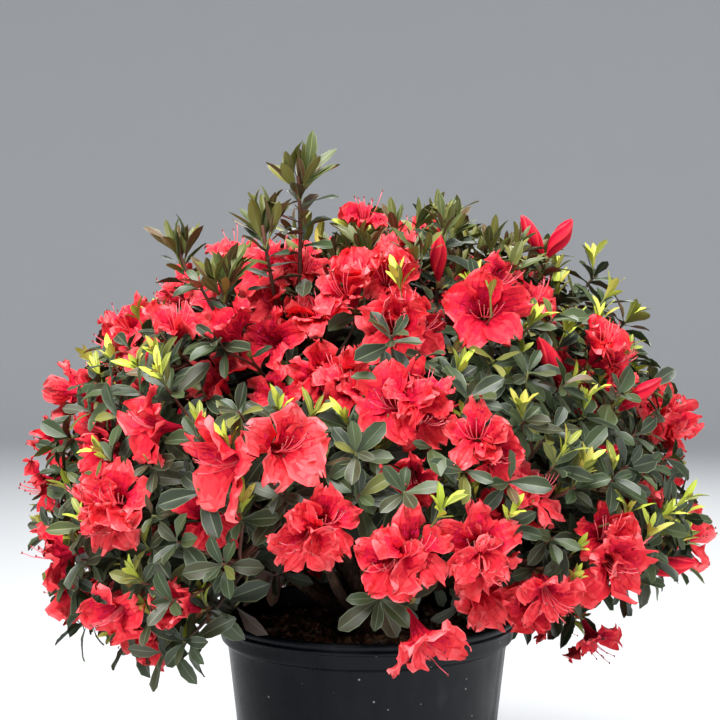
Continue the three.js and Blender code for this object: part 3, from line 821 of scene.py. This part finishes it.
# Each twig's girth at its foot and at its tip, and its finish.
twig_looks = [(*STEM_GIRTH, 0)] * len(masses)
for shoot in shoots:
    asked = chance(shoot["number"], 7)
    if shoot["end"] == "leader":
        twig_looks.append((0.0023, 0.0015, 1))
    elif shoot["layer"] in ("marked", "first"):
        twig_looks.append((0.0022, 0.0014, 1 if asked < 0.6 else 0))
    else:
        twig_looks.append((0.0014, 0.0010, 2 if asked < 0.35 else 1))
twig_looks = np.array(twig_looks)
twigs = twig_mesh(
    "twigs",
    [mass["stem"] for mass in masses] + [shoot["twig"] for shoot in shoots],
    9,
    twig_looks[:, :2],
    [
        plain_finish("twig_grey_brown", (0.095, 0.058, 0.040), 0.8, 0.3),
        plain_finish("twig_red_brown", (0.125, 0.045, 0.028), 0.7, 0.35),
        plain_finish("twig_green", (0.150, 0.150, 0.045), 0.6, 0.4),
    ],
    twig_looks[:, 2].astype(int),
)
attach(twigs, "root")

# The flowers: coral red funnels 50 to 85 mm across, of five wavy petals joined in a short tube,
# one to three in a truss and facing different ways. The upper petal is blotched with crimson,
# and long pale stamens curve out of the throat. Some flowers are half open, some still buds.
PETAL_ROWS = np.array([0.0, 0.15, 0.30, 0.42, 0.52, 0.62, 0.72, 0.82, 0.90, 0.96, 1.0])
PETAL_COLUMNS = np.array(
    [-1.0, -0.87, -0.66, -0.59, -0.36, -0.29, -0.04, 0.04, 0.29, 0.36, 0.59, 0.66, 0.87, 1.0]
)
# Which of the strips between the columns are veins.
VEINS = np.array([0, 0, 1, 0, 1, 0, 1, 0, 1, 0, 1, 0, 0])
PETALS = 5
PETAL_LENGTH = 0.057
PETAL_HALF_WIDTH = 0.0176
PETAL_PIECES = 3
TUBE_SLOPE = 10
TUBE_RADIUS = 0.0020
TUBE_WRAP = 38
CRINKLE = 0.0019
KEEL = 0.0012
PEDICEL = 0.007
MOUTH_DEPTH = 0.030
FLOWER_SPACING = 0.043
FLOWER_CLEARANCE = 0.03
FLOWER_SIZES = (0.60, 0.84)
# A flower that is open less than this is a bud.
BUD_OPENNESS = 0.2
FULL_TURN = 6.28
# The depth of a petal's tone along its length, from its foot to its tip. It is deepest at the
# foot: partly the throat's own deeper red, partly painted shade inside the funnel.
TONE_PLACES = [0.1, 0.3, 0.45, 0.6, 0.8, 0.93, 0.98]
TONE_LEVELS = [10.4, 9.4, 6.8, 4.6, 3.3, 2.2, 0.9]
STREAKS = 1.9
FLECKS = 3.0
BLOTCH = 3.2
# From the pale rim of a petal, partly a painted highlight, to the depth of the throat, partly
# painted shade inside the funnel.
PETAL_TONES = [
    (0.96, 0.175, 0.180), (0.95, 0.128, 0.140), (0.93, 0.096, 0.106), (0.90, 0.072, 0.083),
    (0.87, 0.052, 0.065), (0.82, 0.036, 0.052), (0.76, 0.024, 0.042), (0.70, 0.015, 0.037),
    (0.63, 0.009, 0.034), (0.54, 0.006, 0.030), (0.44, 0.004, 0.025), (0.32, 0.003, 0.019),
]


def smooth_step(low, high, value):
    """0 below low, 1 above high, and an even curve between."""
    share = np.clip((value - low) / (high - low), 0, 1)
    return share * share * (3 - 2 * share)


def as_columns(rows):
    """The columns of a list of rows, each as an array of numbers."""
    return [np.array(column, float) for column in zip(*rows)]


def placed(foot, *moves):
    """Points of grids: each grid's foot, plus each of its directions times its amounts."""
    points = foot[:, None, None, :]
    for direction, amount in moves:
        points = points + amount[..., None] * direction[:, None, None, :]
    return points


def petal_surfaces(foot, aim, out, length, half_width, opening, recurve, ruffle, phase, twist, cup):
    """Petals as grids. The midline's slope from the aim starts at 10 degrees, reaches the
    opening at three quarters of the length, and gains the recurve at the tip. Its radius and
    height are the running sums of the sine and cosine of that slope. Across, the petal first
    wraps a fifth of the way round the tube, and then spreads flat, its half width swelling to
    a round end. Waves that run round the margin ruffle it, short waves both ways crinkle it,
    and it is cupped and twisted."""
    v = PETAL_ROWS[None, :, None]
    u = PETAL_COLUMNS[None, None, :]
    shape = (length, half_width, opening, recurve, ruffle, phase, twist, cup)
    length, half_width, opening, recurve, ruffle, phase, twist, cup = (
        x[:, None, None] for x in shape
    )
    opened = (opening - TUBE_SLOPE) * smooth_step(0.22, 0.80, v)
    slope = np.radians(TUBE_SLOPE + opened + recurve * smooth_step(0.66, 1.0, v))
    part = length * np.diff(PETAL_ROWS, prepend=0.0)[None, :, None]
    radius = TUBE_RADIUS + np.cumsum(np.sin(slope) * part, axis=1)
    height = np.cumsum(np.cos(slope) * part, axis=1)
    lobe = smooth_step(0.34, 0.54, v)
    swell = between(0.42, 1.0, smooth_step(0.40, 0.72, v))
    swell = swell * np.sqrt(np.clip(1 - (np.clip(v - 0.70, 0, 1) / 0.31) ** 2.2, 0.0, 1))
    around = np.arctan2(u, (v - 0.66) / 0.34)
    margin = np.clip(np.hypot(u, np.clip((v - 0.66) / 0.34, -1, 1)), 0, 1.15)
    half = half_width * swell * (1 + 0.10 * np.sin(7 * around + 2.3 * phase))
    arc = np.radians(TUBE_WRAP) * u
    over = (1 - lobe) * radius * np.sin(arc) + lobe * half * u
    lift = (1 - lobe) * radius * (1 - np.cos(arc)) + lobe * cup * u**2
    wave = np.sin(4 * around + phase) + 0.6 * np.sin(9 * around + 3.1 * phase)
    lift = lift + lobe * ruffle * margin**1.6 * wave
    lift = lift + lobe * CRINKLE * np.sin(17 * u + 3.1 * phase) * np.sin(26 * v + 1.7 * phase)
    lift = lift - lobe * KEEL * np.exp(-((u / 0.2) ** 2)) * smooth_step(1.0, 0.7, v)
    over, lift = (
        over * np.cos(twist * lobe) - lift * np.sin(twist * lobe),
        over * np.sin(twist * lobe) + lift * np.cos(twist * lobe),
    )
    reach = 1 + 0.065 * lobe * np.sin(8 * u + 1.7 * phase) * smooth_step(0.8, 1.0, v)
    radius = radius * reach - lift * np.cos(slope)
    height = height + lift * np.sin(slope)
    return placed(foot, (aim, height), (out, radius), (np.cross(aim, out), over))


def frame_about(aim):
    """Two directions square to an aim and to each other, the second as near upright as can be."""
    aside = np.array([1.0, 0.0, 0.0]) if abs(aim[2]) > 0.95 else np.array([0.0, 0.0, 1.0])
    side = unit(np.cross(aside, aim))
    return side, np.cross(aim, side)


def scatter(value, size=24634.6345):
    """A number from 0 to 1 that jumps about with the value: the fraction of size sin(value)."""
    return np.sin(value) * size % 1.0


def near_pot(point, clearance):
    """Whether a point lies within the pot's reach and under its top, each with a clearance."""
    within = math.hypot(point[0], point[1]) < RIM_RADIUS + clearance
    return within and point[2] < POT_HEIGHT + clearance


flowers = []
mouths = np.full((1, 3), 9.0)
for shoot in shoots:
    if shoot["end"] != "bloom":
        continue
    number = shoot["number"]
    truss = [(facing(b, e), openness, size) for b, e, openness, size in shoot["flowers"]]
    if not truss:
        side, over = frame_about(shoot["aim"])
        count = 1 if shoot["layer"] == "inner" else 1 + int(3 * chance(number, 200))
        start = 360 * chance(number, 201)
        for i in range(count):
            turn = math.radians(start + 360 * i / count + 40 * (chance(number, 202 + i) - 0.5))
            tilt = math.radians(between(8, 30, chance(number, 206 + i)) + (30 if count > 1 else 0))
            away = side * math.cos(turn) + over * math.sin(turn)
            openness = 1.0 if chance(number, 210 + i) < 0.8 else 0.6 * chance(number, 214 + i)
            size = between(*FLOWER_SIZES, chance(number, 218 + i))
            truss.append((shoot["aim"] * math.cos(tilt) + away * math.sin(tilt), openness, size))
    for i, (aim, openness, size) in enumerate(truss):
        foot = shoot["tip"] + unit(shoot["aim"] + aim) * PEDICEL
        mouth = foot + aim * MOUTH_DEPTH * size
        crowded = np.linalg.norm(mouths - mouth, axis=1).min() < FLOWER_SPACING
        if not shoot["flowers"] and (crowded or near_pot(mouth, FLOWER_CLEARANCE)):
            continue
        mouths = np.vstack([mouths, mouth])
        flowers.append(
            {
                "number": number * 4 + i, "tip": shoot["tip"], "foot": foot, "aim": aim,
                "open": openness, "size": size, "deep": shoot["layer"] == "inner",
            }
        )

petals = []
for flower in flowers:
    if flower["open"] < BUD_OPENNESS:
        continue
    number = flower["number"]
    side, over = frame_about(flower["aim"])
    size = flower["size"]
    openness = flower["open"]
    opening = between(18, between(62, 82, chance(number, 221)), openness)
    tone = between(-0.9, 2.6, chance(number, 222)) + 1.6 * (1 - openness)
    doubled = chance(number, 224) < 0.4 and openness > 0.9 and not flower["deep"]
    extra = 1 + int(3 * chance(number, 223)) if doubled else 0
    for i in range(PETALS + extra):
        inside = i >= PETALS
        turn = math.radians(90 + 72 * i + 14 * (chance(number, 230 + i) - 0.5) + 36 * inside)
        shrink = between(0.60, 0.78, chance(number, 240 + i)) if inside else 1.0
        petals.append(
            (
                flower["foot"],
                flower["aim"],
                side * math.cos(turn) + over * math.sin(turn),
                PETAL_LENGTH * size * shrink * between(0.93, 1.05, chance(number, 250 + i)),
                PETAL_HALF_WIDTH * size * shrink * between(0.86, 1.08, chance(number, 260 + i)),
                opening * (0.5 if inside else between(0.76, 1.14, chance(number, 270 + i))),
                between(-16, 54, chance(number, 280 + i)) * between(0.3, 1, openness),
                between(0.0020, 0.0044, chance(number, 290 + i)),
                FULL_TURN * chance(number, 300 + i),
                between(-0.52, 0.52, chance(number, 310 + i)) * openness,
                between(-0.0025, 0.0050, chance(number, 320 + i)) * (2 - openness),
                tone,
                1.0 if i == 0 else (0.7 if i in (1, 4) else 0.0),
                number * 9 + i,
            )
        )

columns = as_columns(petals)
petal_points = petal_surfaces(*columns[:11])
flower_tone, dorsal, petal_number = (column[:, None, None] for column in columns[11:])
v = ((PETAL_ROWS[1:] + PETAL_ROWS[:-1]) / 2)[None, :, None]
u = ((PETAL_COLUMNS[1:] + PETAL_COLUMNS[:-1]) / 2)[None, None, :]
level = np.interp(v, TONE_PLACES, TONE_LEVELS)
# The outer strips of the lobes are paler: partly a pale margin, partly a painted highlight.
level = level - 1.6 * (np.abs(u) > 0.87) * (v > 0.5) + flower_tone
streak = scatter(petal_number * 12.9898 + u * 78.233, 43758.5453)
fleck = scatter(petal_number * 4.898 + u * 57.21 + v * 93.17)
level = level + STREAKS * (streak - 0.5) + FLECKS * (fleck - 0.5) + VEINS * between(2.4, 1.1, v)
blotch = dorsal * np.clip(1 - (u / 0.85) ** 2, 0, 1) * np.clip(1 - ((v - 0.56) / 0.30) ** 2, 0, 1)
level = level + BLOTCH * blotch
finish = np.clip(np.rint(level), 0, len(PETAL_TONES) - 1).astype(int)
petal_finishes = [
    plain_finish(f"petal_tone_{i}", tone, 0.65, 0.10) for i, tone in enumerate(PETAL_TONES)
]


def in_pieces(name, grids, finishes, finish_of_face, count):
    """Like grids shared out among a number of meshes, in order."""
    return [
        grid_surface(f"{name}_{i + 1}", grids[chosen], finishes, finish_of_face[chosen].ravel(), False)
        for i, chosen in enumerate(np.array_split(np.arange(len(grids)), count))
    ]


flower_pieces = in_pieces("petals", petal_points, petal_finishes, finish, PETAL_PIECES)

# The blotch is a spray of crimson specks on the upper petals: diamonds that lie just over the
# faces where it is strongest.
corner = petal_points[:, :-1, :-1]
along_petal = petal_points[:, 1:, :-1] - corner
across_petal = petal_points[:, :-1, 1:] - corner
over_petal = -unit(np.cross(across_petal, along_petal)) * 0.0002
specks = []
for i in range(3):
    draw = scatter(petal_number * 3.7 + u * 91.7 + v * 57.3 + 19.1 * i)
    chosen = (draw < 1.7 * blotch) & (VEINS == 0)
    middle = corner + along_petal * (0.2 + 0.6 * draw[..., None]) + across_petal * (0.2 + 0.3 * i)
    half_long = along_petal * 0.25
    half_wide = unit(across_petal) * 0.00062
    ends = [middle - half_long, middle + half_wide, middle + half_long, middle - half_wide]
    specks.append((np.stack(ends, axis=3) + over_petal[..., None, :])[chosen])
specks = np.concatenate(specks)
speck_finish = plain_finish("petal_speck", (0.58, 0.005, 0.075), 0.6, 0.14)
speck_faces = np.arange(len(specks) * 4).reshape(-1, 4)
flower_pieces.append(surface("petal_specks", specks, speck_faces, [speck_finish]))

# The stamens stand in each open throat, six of them, and curve up at their ends.
STAMENS = 6
stamen_curves = []
for flower in flowers:
    if flower["open"] < 0.5 or flower["deep"]:
        continue
    number = flower["number"]
    aim = flower["aim"]
    side, over = frame_about(aim)
    rise = over if over[2] > 0 else -over
    for i in range(STAMENS):
        lean = between(-1, 1, i / (STAMENS - 1)) + 0.3 * (chance(number, 330 + i) - 0.5)
        reach = between(0.034, 0.047, chance(number, 340 + i)) + (0.006 if i == 3 else 0)
        reach = reach * between(0.3, 1.0, flower["size"])
        base = flower["foot"] + aim * 0.006 + side * lean * 0.0012
        low = base + aim * reach * 0.62 + side * lean * 0.004 - rise * 0.007
        end = base + aim * reach + side * lean * 0.011
        end = end + rise * between(0.000, 0.011, chance(number, 350 + i))
        stamen_curves.append([base, low, end])
filament = plain_finish("filament", (0.84, 0.145, 0.175), 0.5, 0.3)
flower_pieces.append(twig_mesh("stamens", stamen_curves, 6, (0.00046, 0.00032), [filament]))
anther_points = np.array([curve[2] for curve in stamen_curves])[:, None, :] + box_points(
    (-0.0005, -0.0005, -0.0009), (0.0005, 0.0005, 0.0009)
)
anther = plain_finish("anther", (0.28, 0.05, 0.045), 0.8, 0.2)
flower_pieces.append(surface("anthers", anther_points, box_faces(len(stamen_curves)), [anther]))

# A bud's columns run over its five furled petals, four to each, and each has its own tone: darkest
# where the petal drops under the next, a painted shade in the crease, and lighter towards its
# edge, partly a pale margin and partly a painted highlight.
BUD_ROWS = 13
BUD_COLUMNS = 20
BUD_TONES_AND_SHADE = np.array([8, 7, 5, 10])


def bud_surfaces(foot, aim, out, length, girth, phase):
    """Closed buds as grids: a turned spindle whose radius follows the sine of the length, drawn
    to a point. Its five furled petals wind round it: each swells across its four columns and
    drops to the next one's edge, and their points stand a little apart at the tip."""
    v = np.linspace(0, 1, BUD_ROWS)[None, :, None]
    column = np.arange(BUD_COLUMNS)[None, None, :]
    length, girth, phase = (x[:, None, None] for x in (length, girth, phase))
    angle = np.pi / 10 * column + 1.9 * v + phase
    swell = (column % 4) / 3 - 0.5
    ridge = 1 + between(0.10, 0.34, v) * swell
    radius = girth * (0.16 * (1 - v) + np.sin(np.pi * v**1.15) ** 0.8) * ridge + 0.0007 * v
    length = length * (1 + 0.10 * swell * smooth_step(0.7, 1.0, v))
    across = np.cross(aim, out)
    return placed(
        foot, (aim, length * v), (out, radius * np.cos(angle)), (across, radius * np.sin(angle))
    )


buds = [
    (
        flower["foot"],
        flower["aim"],
        frame_about(flower["aim"])[0],
        between(0.035, 0.048, chance(flower["number"], 360)),
        between(0.0052, 0.0070, chance(flower["number"], 361)),
        FULL_TURN * chance(flower["number"], 362),
    )
    for flower in flowers
    if flower["open"] < BUD_OPENNESS
]
row, column = np.meshgrid(np.arange(BUD_ROWS - 1), np.arange(BUD_COLUMNS), indexing="ij")
# The tones are also a step darker towards the bud's foot and a step paler towards its tip.
bud_tone_and_shade = np.tile((BUD_TONES_AND_SHADE[column % 4] + (row < 3) - (row > 8)).ravel(), len(buds))
bud_points = bud_surfaces(*as_columns(buds))
flower_pieces.append(grid_surface("flower_buds", bud_points, petal_finishes, bud_tone_and_shade))
pedicel_curves = []
for flower in flowers:
    tip, foot = flower["tip"], flower["foot"]
    pedicel_curves.append([tip, tip + (foot - tip) * 0.6, foot + flower["aim"] * 0.001])
pedicel = plain_finish("pedicel", (0.26, 0.20, 0.07), 0.6, 0.3)
flower_pieces.append(twig_mesh("pedicels", pedicel_curves, 4, (0.0012, 0.0019), [pedicel]))
for piece in flower_pieces:
    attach(piece, "root")

# The leaves: leathery evergreen blades about 17 to 41 mm long, widest past the middle, round
# ended, with a pale midrib and rim, in a rosette round the end of every shoot. New ones stand up
# in the rosette's middle in yellow-green tufts, and the tallest shoots carry bronze ones.
LEAF_ROWS = np.array([0.0, 0.16, 0.38, 0.62, 0.86, 1.0])
LEAF_COLUMNS = np.array([-1.0, -0.89, -0.07, 0.07, 0.89, 1.0])
SMALL_LEAF_ROWS = np.array([0.0, 0.25, 0.55, 0.82, 1.0])
SMALL_LEAF_COLUMNS = np.array([-1.0, -0.06, 0.06, 1.0])
LARGE_KINDS = ("old", "new")
FUNNEL_HEIGHTS = [-0.002, 0.016, 0.024, 0.030, 0.036, 0.044]
FUNNEL_RADII = [0.004, 0.008, 0.017, 0.034, 0.037, 0.031]
PIECE_LIMIT = 180000
LEAF_CLEARANCE = 0.006
GOLDEN_TURN = 137.5
TOP_LEAVES_FROM = 56.0
OLD_TONES = 6
YOUNG_TONES = 4
# How often a leaf in the rosette's inner half is a new one.
NEW_SHARES = {"leader": 0.15, "top": 0.6, "bloom": 0.15, "side": 0.15}
# Each kind of leaf: how round its end is, its roughness and shine, the colour of its midrib, and
# the colours of its blades.
LEAF_KINDS = {
    "old": (2.3, 0.42, 0.42, (0.105, 0.132, 0.070), [
        (0.022, 0.033, 0.016), (0.029, 0.045, 0.018), (0.038, 0.059, 0.022),
        (0.056, 0.078, 0.027), (0.028, 0.038, 0.019), (0.044, 0.044, 0.019),
    ]),
    # The inner leaves are darker and warmer than the old ones: painted shade inside the crown, and
    # painted red light thrown back from the petals.
    "inner": (2.0, 0.6, 0.3, (0.045, 0.060, 0.028), [
        (0.012, 0.014, 0.007), (0.019, 0.018, 0.009), (0.032, 0.017, 0.010),
        (0.018, 0.027, 0.012), (0.056, 0.024, 0.015), (0.034, 0.032, 0.014),
    ]),
    "new": (1.35, 0.45, 0.4, (0.19, 0.20, 0.070), [
        (0.115, 0.125, 0.026), (0.175, 0.170, 0.032), (0.110, 0.058, 0.026), (0.072, 0.094, 0.024),
    ]),
    "young": (1.35, 0.5, 0.35, (0.60, 0.61, 0.19), [
        (0.42, 0.50, 0.045), (0.55, 0.61, 0.075), (0.24, 0.27, 0.040), (0.52, 0.47, 0.085),
    ]),
    "scale": (1.2, 0.6, 0.3, (0.300, 0.230, 0.075), [
        (0.250, 0.170, 0.045), (0.150, 0.070, 0.028), (0.330, 0.270, 0.070), (0.110, 0.042, 0.022),
    ]),
}
# A rosette, by where the shoot is: how many leaves it has, how far back along the twig they
# start and end, and how many degrees the first and the last lean away. An inner shoot at the
# side has fewer.
ROSETTES = {
    "leader": (15, 0.070, 0.016, (96, 50)),
    "top": (10, 0.017, 0.0, (92, 40)),
    "bloom": (7, 0.024, 0.0, (112, 72)),
    "side": (10, 0.017, 0.0, (104, 44)),
}
INNER_SIDE_LEAVES = 7
SCALES = 5
# What stands up in the middle of a rosette, by where the shoot is: the kind of its leaves, the
# fewest and most tufts, how far they lean out, how far below the tip they start, the range of
# their stems, and the number, shortest and longest of their leaves.
TUFTS = {
    "leader": ("new", (4.0, 5.0), 0.55, 0.020, (0.012, 0.028), 6, (0.025, 0.040)),
    "top": ("new", (1.2, 3.0), 0.45, 0.002, (0.006, 0.024), 6, (0.018, 0.033)),
    "bloom": ("young", (0.0, 2.1), 0.75, 0.004, (0.006, 0.020), 7, (0.010, 0.027)),
    "side": ("young", (0.0, 1.5), 0.35, 0.004, (0.006, 0.020), 7, (0.010, 0.027)),
}


def leaf_surfaces(rows, cross, point, foot, along, face, length, width, bend, fold, wave):
    """Leaf blades as grids. A point at share v of the length and u of the half width lies at
    foot + length (v - bend^2 v^3 / 6) along + half u side + rise face. The half width is a
    stalk's at first, swells past the middle and closes in an end that is the rounder the
    greater the point power is. The rise is what the bend drops, the fold lifts at the edges,
    and a slow wave adds there."""
    v = rows[None, :, None]
    u = cross[None, None, :]
    length, width, bend, fold, wave = (x[:, None, None] for x in (length, width, bend, fold, wave))
    swell = np.sin(np.pi / 2 * np.clip(v / 0.62, 0, 1)) ** 1.25
    swell = swell * np.sqrt(np.clip(1 - (np.clip(v - 0.62, 0, 1) / 0.382) ** point, 0, 1))
    half = width / 2 * np.maximum(swell, 0.09 * (1 - v))
    forward = length * (v - bend**2 * v**3 / 6)
    rise = -length * bend * v**2 / 2 + fold * half * np.abs(u) ** 1.3
    rise = rise + 0.07 * width * np.sin(8 * v + wave + 1.2 * u) * u**2
    return placed(foot, (along, forward), (np.cross(along, face), half * u), (face, rise))


leaf_lists = {kind: [] for kind in LEAF_KINDS}


def add_leaf(kind, aim, number, question, foot, bearing, spread, length, slimness, tone):
    """One leaf about an aim: it leans away by the spread, on the side that the bearing gives.
    A leaf that would reach into the pot is left out."""
    side, over = frame_about(aim)
    b, s = math.radians(bearing), math.radians(spread)
    out = side * math.cos(b) + over * math.sin(b)
    along = aim * math.cos(s) + out * math.sin(s)
    face = aim * math.sin(s) - out * math.cos(s)
    if near_pot(foot + along * length, LEAF_CLEARANCE):
        return
    face = unit(face + np.cross(along, face) * between(-0.4, 0.4, chance(number, question + 3)))
    bend = between(-0.10, 0.60, chance(number, question + 1))
    fold = between(0.08, 0.55, chance(number, question + 2))
    wave = FULL_TURN * chance(number, question + 4)
    leaf_lists[kind].append((foot, along, face, length, length * slimness, bend, fold, wave, tone))


tuft_stems = []
for shoot in shoots:
    number = shoot["number"]
    aim = shoot["aim"]
    inner = shoot["layer"] == "inner"
    where = shoot["end"]
    if where == "leaves":
        where = "top" if shoot["elevation"] > TOP_LEAVES_FROM else "side"
    start = 360 * chance(number, 8)
    count, back, front, leans = ROSETTES[where]
    if inner and where == "side":
        count = INNER_SIDE_LEAVES
    for i in range(count):
        question = 20 + 7 * i
        turn = start + GOLDEN_TURN * i + 20 * (chance(number, question) - 0.5)
        share = i / (count - 1)
        foot = shoot["tip"] - aim * (between(back, 0.0, share**0.6) + front)
        spread = between(*leans, share) + 18 * (chance(number, question + 5) - 0.5)
        length = between(0.021, 0.039, chance(number, question + 6)) * between(1.06, 0.80, share)
        slimness = between(0.38, 0.47, chance(number, question + 2))
        kind = "inner" if inner else "old"
        tone = int(OLD_TONES * chance(number, question + 4))
        if not inner and share > 0.5 and chance(number, question) < NEW_SHARES[where]:
            kind = "new"
            slimness *= 0.85
            tone = tone % YOUNG_TONES
        add_leaf(kind, aim, number, question, foot, turn, spread, length, slimness, tone)
    if inner:
        continue
    for i in range(SCALES if where == "bloom" else 0):
        ask = 500 + 6 * i
        turn = start + GOLDEN_TURN * i
        spread = between(20, 62, chance(number, ask))
        length = between(0.008, 0.014, chance(number, ask + 1))
        tone = int(YOUNG_TONES * chance(number, ask + 2))
        foot = shoot["tip"] - aim * 0.001
        add_leaf("scale", aim, number, ask, foot, turn, spread, length, 0.42, tone)
    kind, counts, lean_out, drop, rises, leaves_each, lengths = TUFTS[where]
    for j in range(int(between(*counts, chance(number, 9)))):
        question = 130 + 60 * j
        turn = math.radians(start + GOLDEN_TURN * j + 60 * chance(number, question))
        side, over = frame_about(aim)
        away = side * math.cos(turn) + over * math.sin(turn)
        lean = unit(aim * 0.75 + np.array([0.0, 0.0, 0.65]) + away * lean_out)
        rise = between(*rises, chance(number, question + 1))
        root = shoot["tip"] - aim * drop
        top = root + lean * rise
        tuft_stems.append([root, root + lean * rise * 0.4, top])
        for i in range(leaves_each + int(2 * chance(number, question + 2))):
            ask = question + 3 + 6 * i
            turn = start + GOLDEN_TURN * i
            spread = between(6, 38, chance(number, ask))
            length = between(*lengths, chance(number, ask + 1))
            slimness = between(0.22, 0.32, chance(number, ask + 2))
            tone = int(YOUNG_TONES * chance(number, ask + 3))
            foot = top - lean * 0.25 * rise * (i % 3)
            add_leaf(kind, lean, number, ask, foot, turn, spread, length, slimness, tone)


def in_flowers(points):
    """Which of many rows of points have one inside a flower's funnel: one whose distance from
    the flower's axis is less than the funnel's radius at its height."""
    hit = np.zeros(len(points), bool)
    for flower in flowers:
        offset = points - flower["foot"]
        height = offset @ flower["aim"]
        distance = np.linalg.norm(offset - height[..., None] * flower["aim"], axis=-1)
        size = flower["size"]
        scale = size if flower["open"] > 0.5 else 0.45 * size
        limit = np.interp(height / size, FUNNEL_HEIGHTS, FUNNEL_RADII, left=-1, right=-1) * scale
        hit |= (distance < limit).any(axis=1)
    return hit


leaf_pieces = []
for kind, (point, rough, shine, midrib, tones) in LEAF_KINDS.items():
    large = kind in LARGE_KINDS
    rows, cross = (LEAF_ROWS, LEAF_COLUMNS) if large else (SMALL_LEAF_ROWS, SMALL_LEAF_COLUMNS)
    *shape, tone = as_columns(leaf_lists[kind])
    points = leaf_surfaces(rows, cross, point, *shape)
    free = ~in_flowers(points[:, 1:, :: len(cross) - 1].reshape(len(points), -1, 3))
    points = points[free]
    spine = np.zeros(len(cross) - 1, int)
    spine[len(cross) // 2 - 1] = 1
    if large:
        spine[[0, -1]] = 1
    finish = np.where(np.tile(spine, len(rows) - 1), len(tones), tone[free, None].astype(int))
    finishes = [plain_finish(f"{kind}_leaf_{i}", tone, rough, shine) for i, tone in enumerate(tones)]
    finishes.append(plain_finish(f"{kind}_leaf_midrib", midrib, rough, shine))
    pieces = 1 + finish.size * 2 // PIECE_LIMIT
    leaf_pieces += in_pieces(f"leaves_{kind}", points, finishes, finish, pieces)
tuft_stem = plain_finish("tuft_stem", (0.22, 0.24, 0.06), 0.6, 0.3)
leaf_pieces.append(twig_mesh("tuft_stems", tuft_stems, 4, (0.0009, 0.0007), [tuft_stem]))
for piece in leaf_pieces:
    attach(piece, "root")
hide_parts(*[f"foliage_{mass['name']}" for mass in masses])
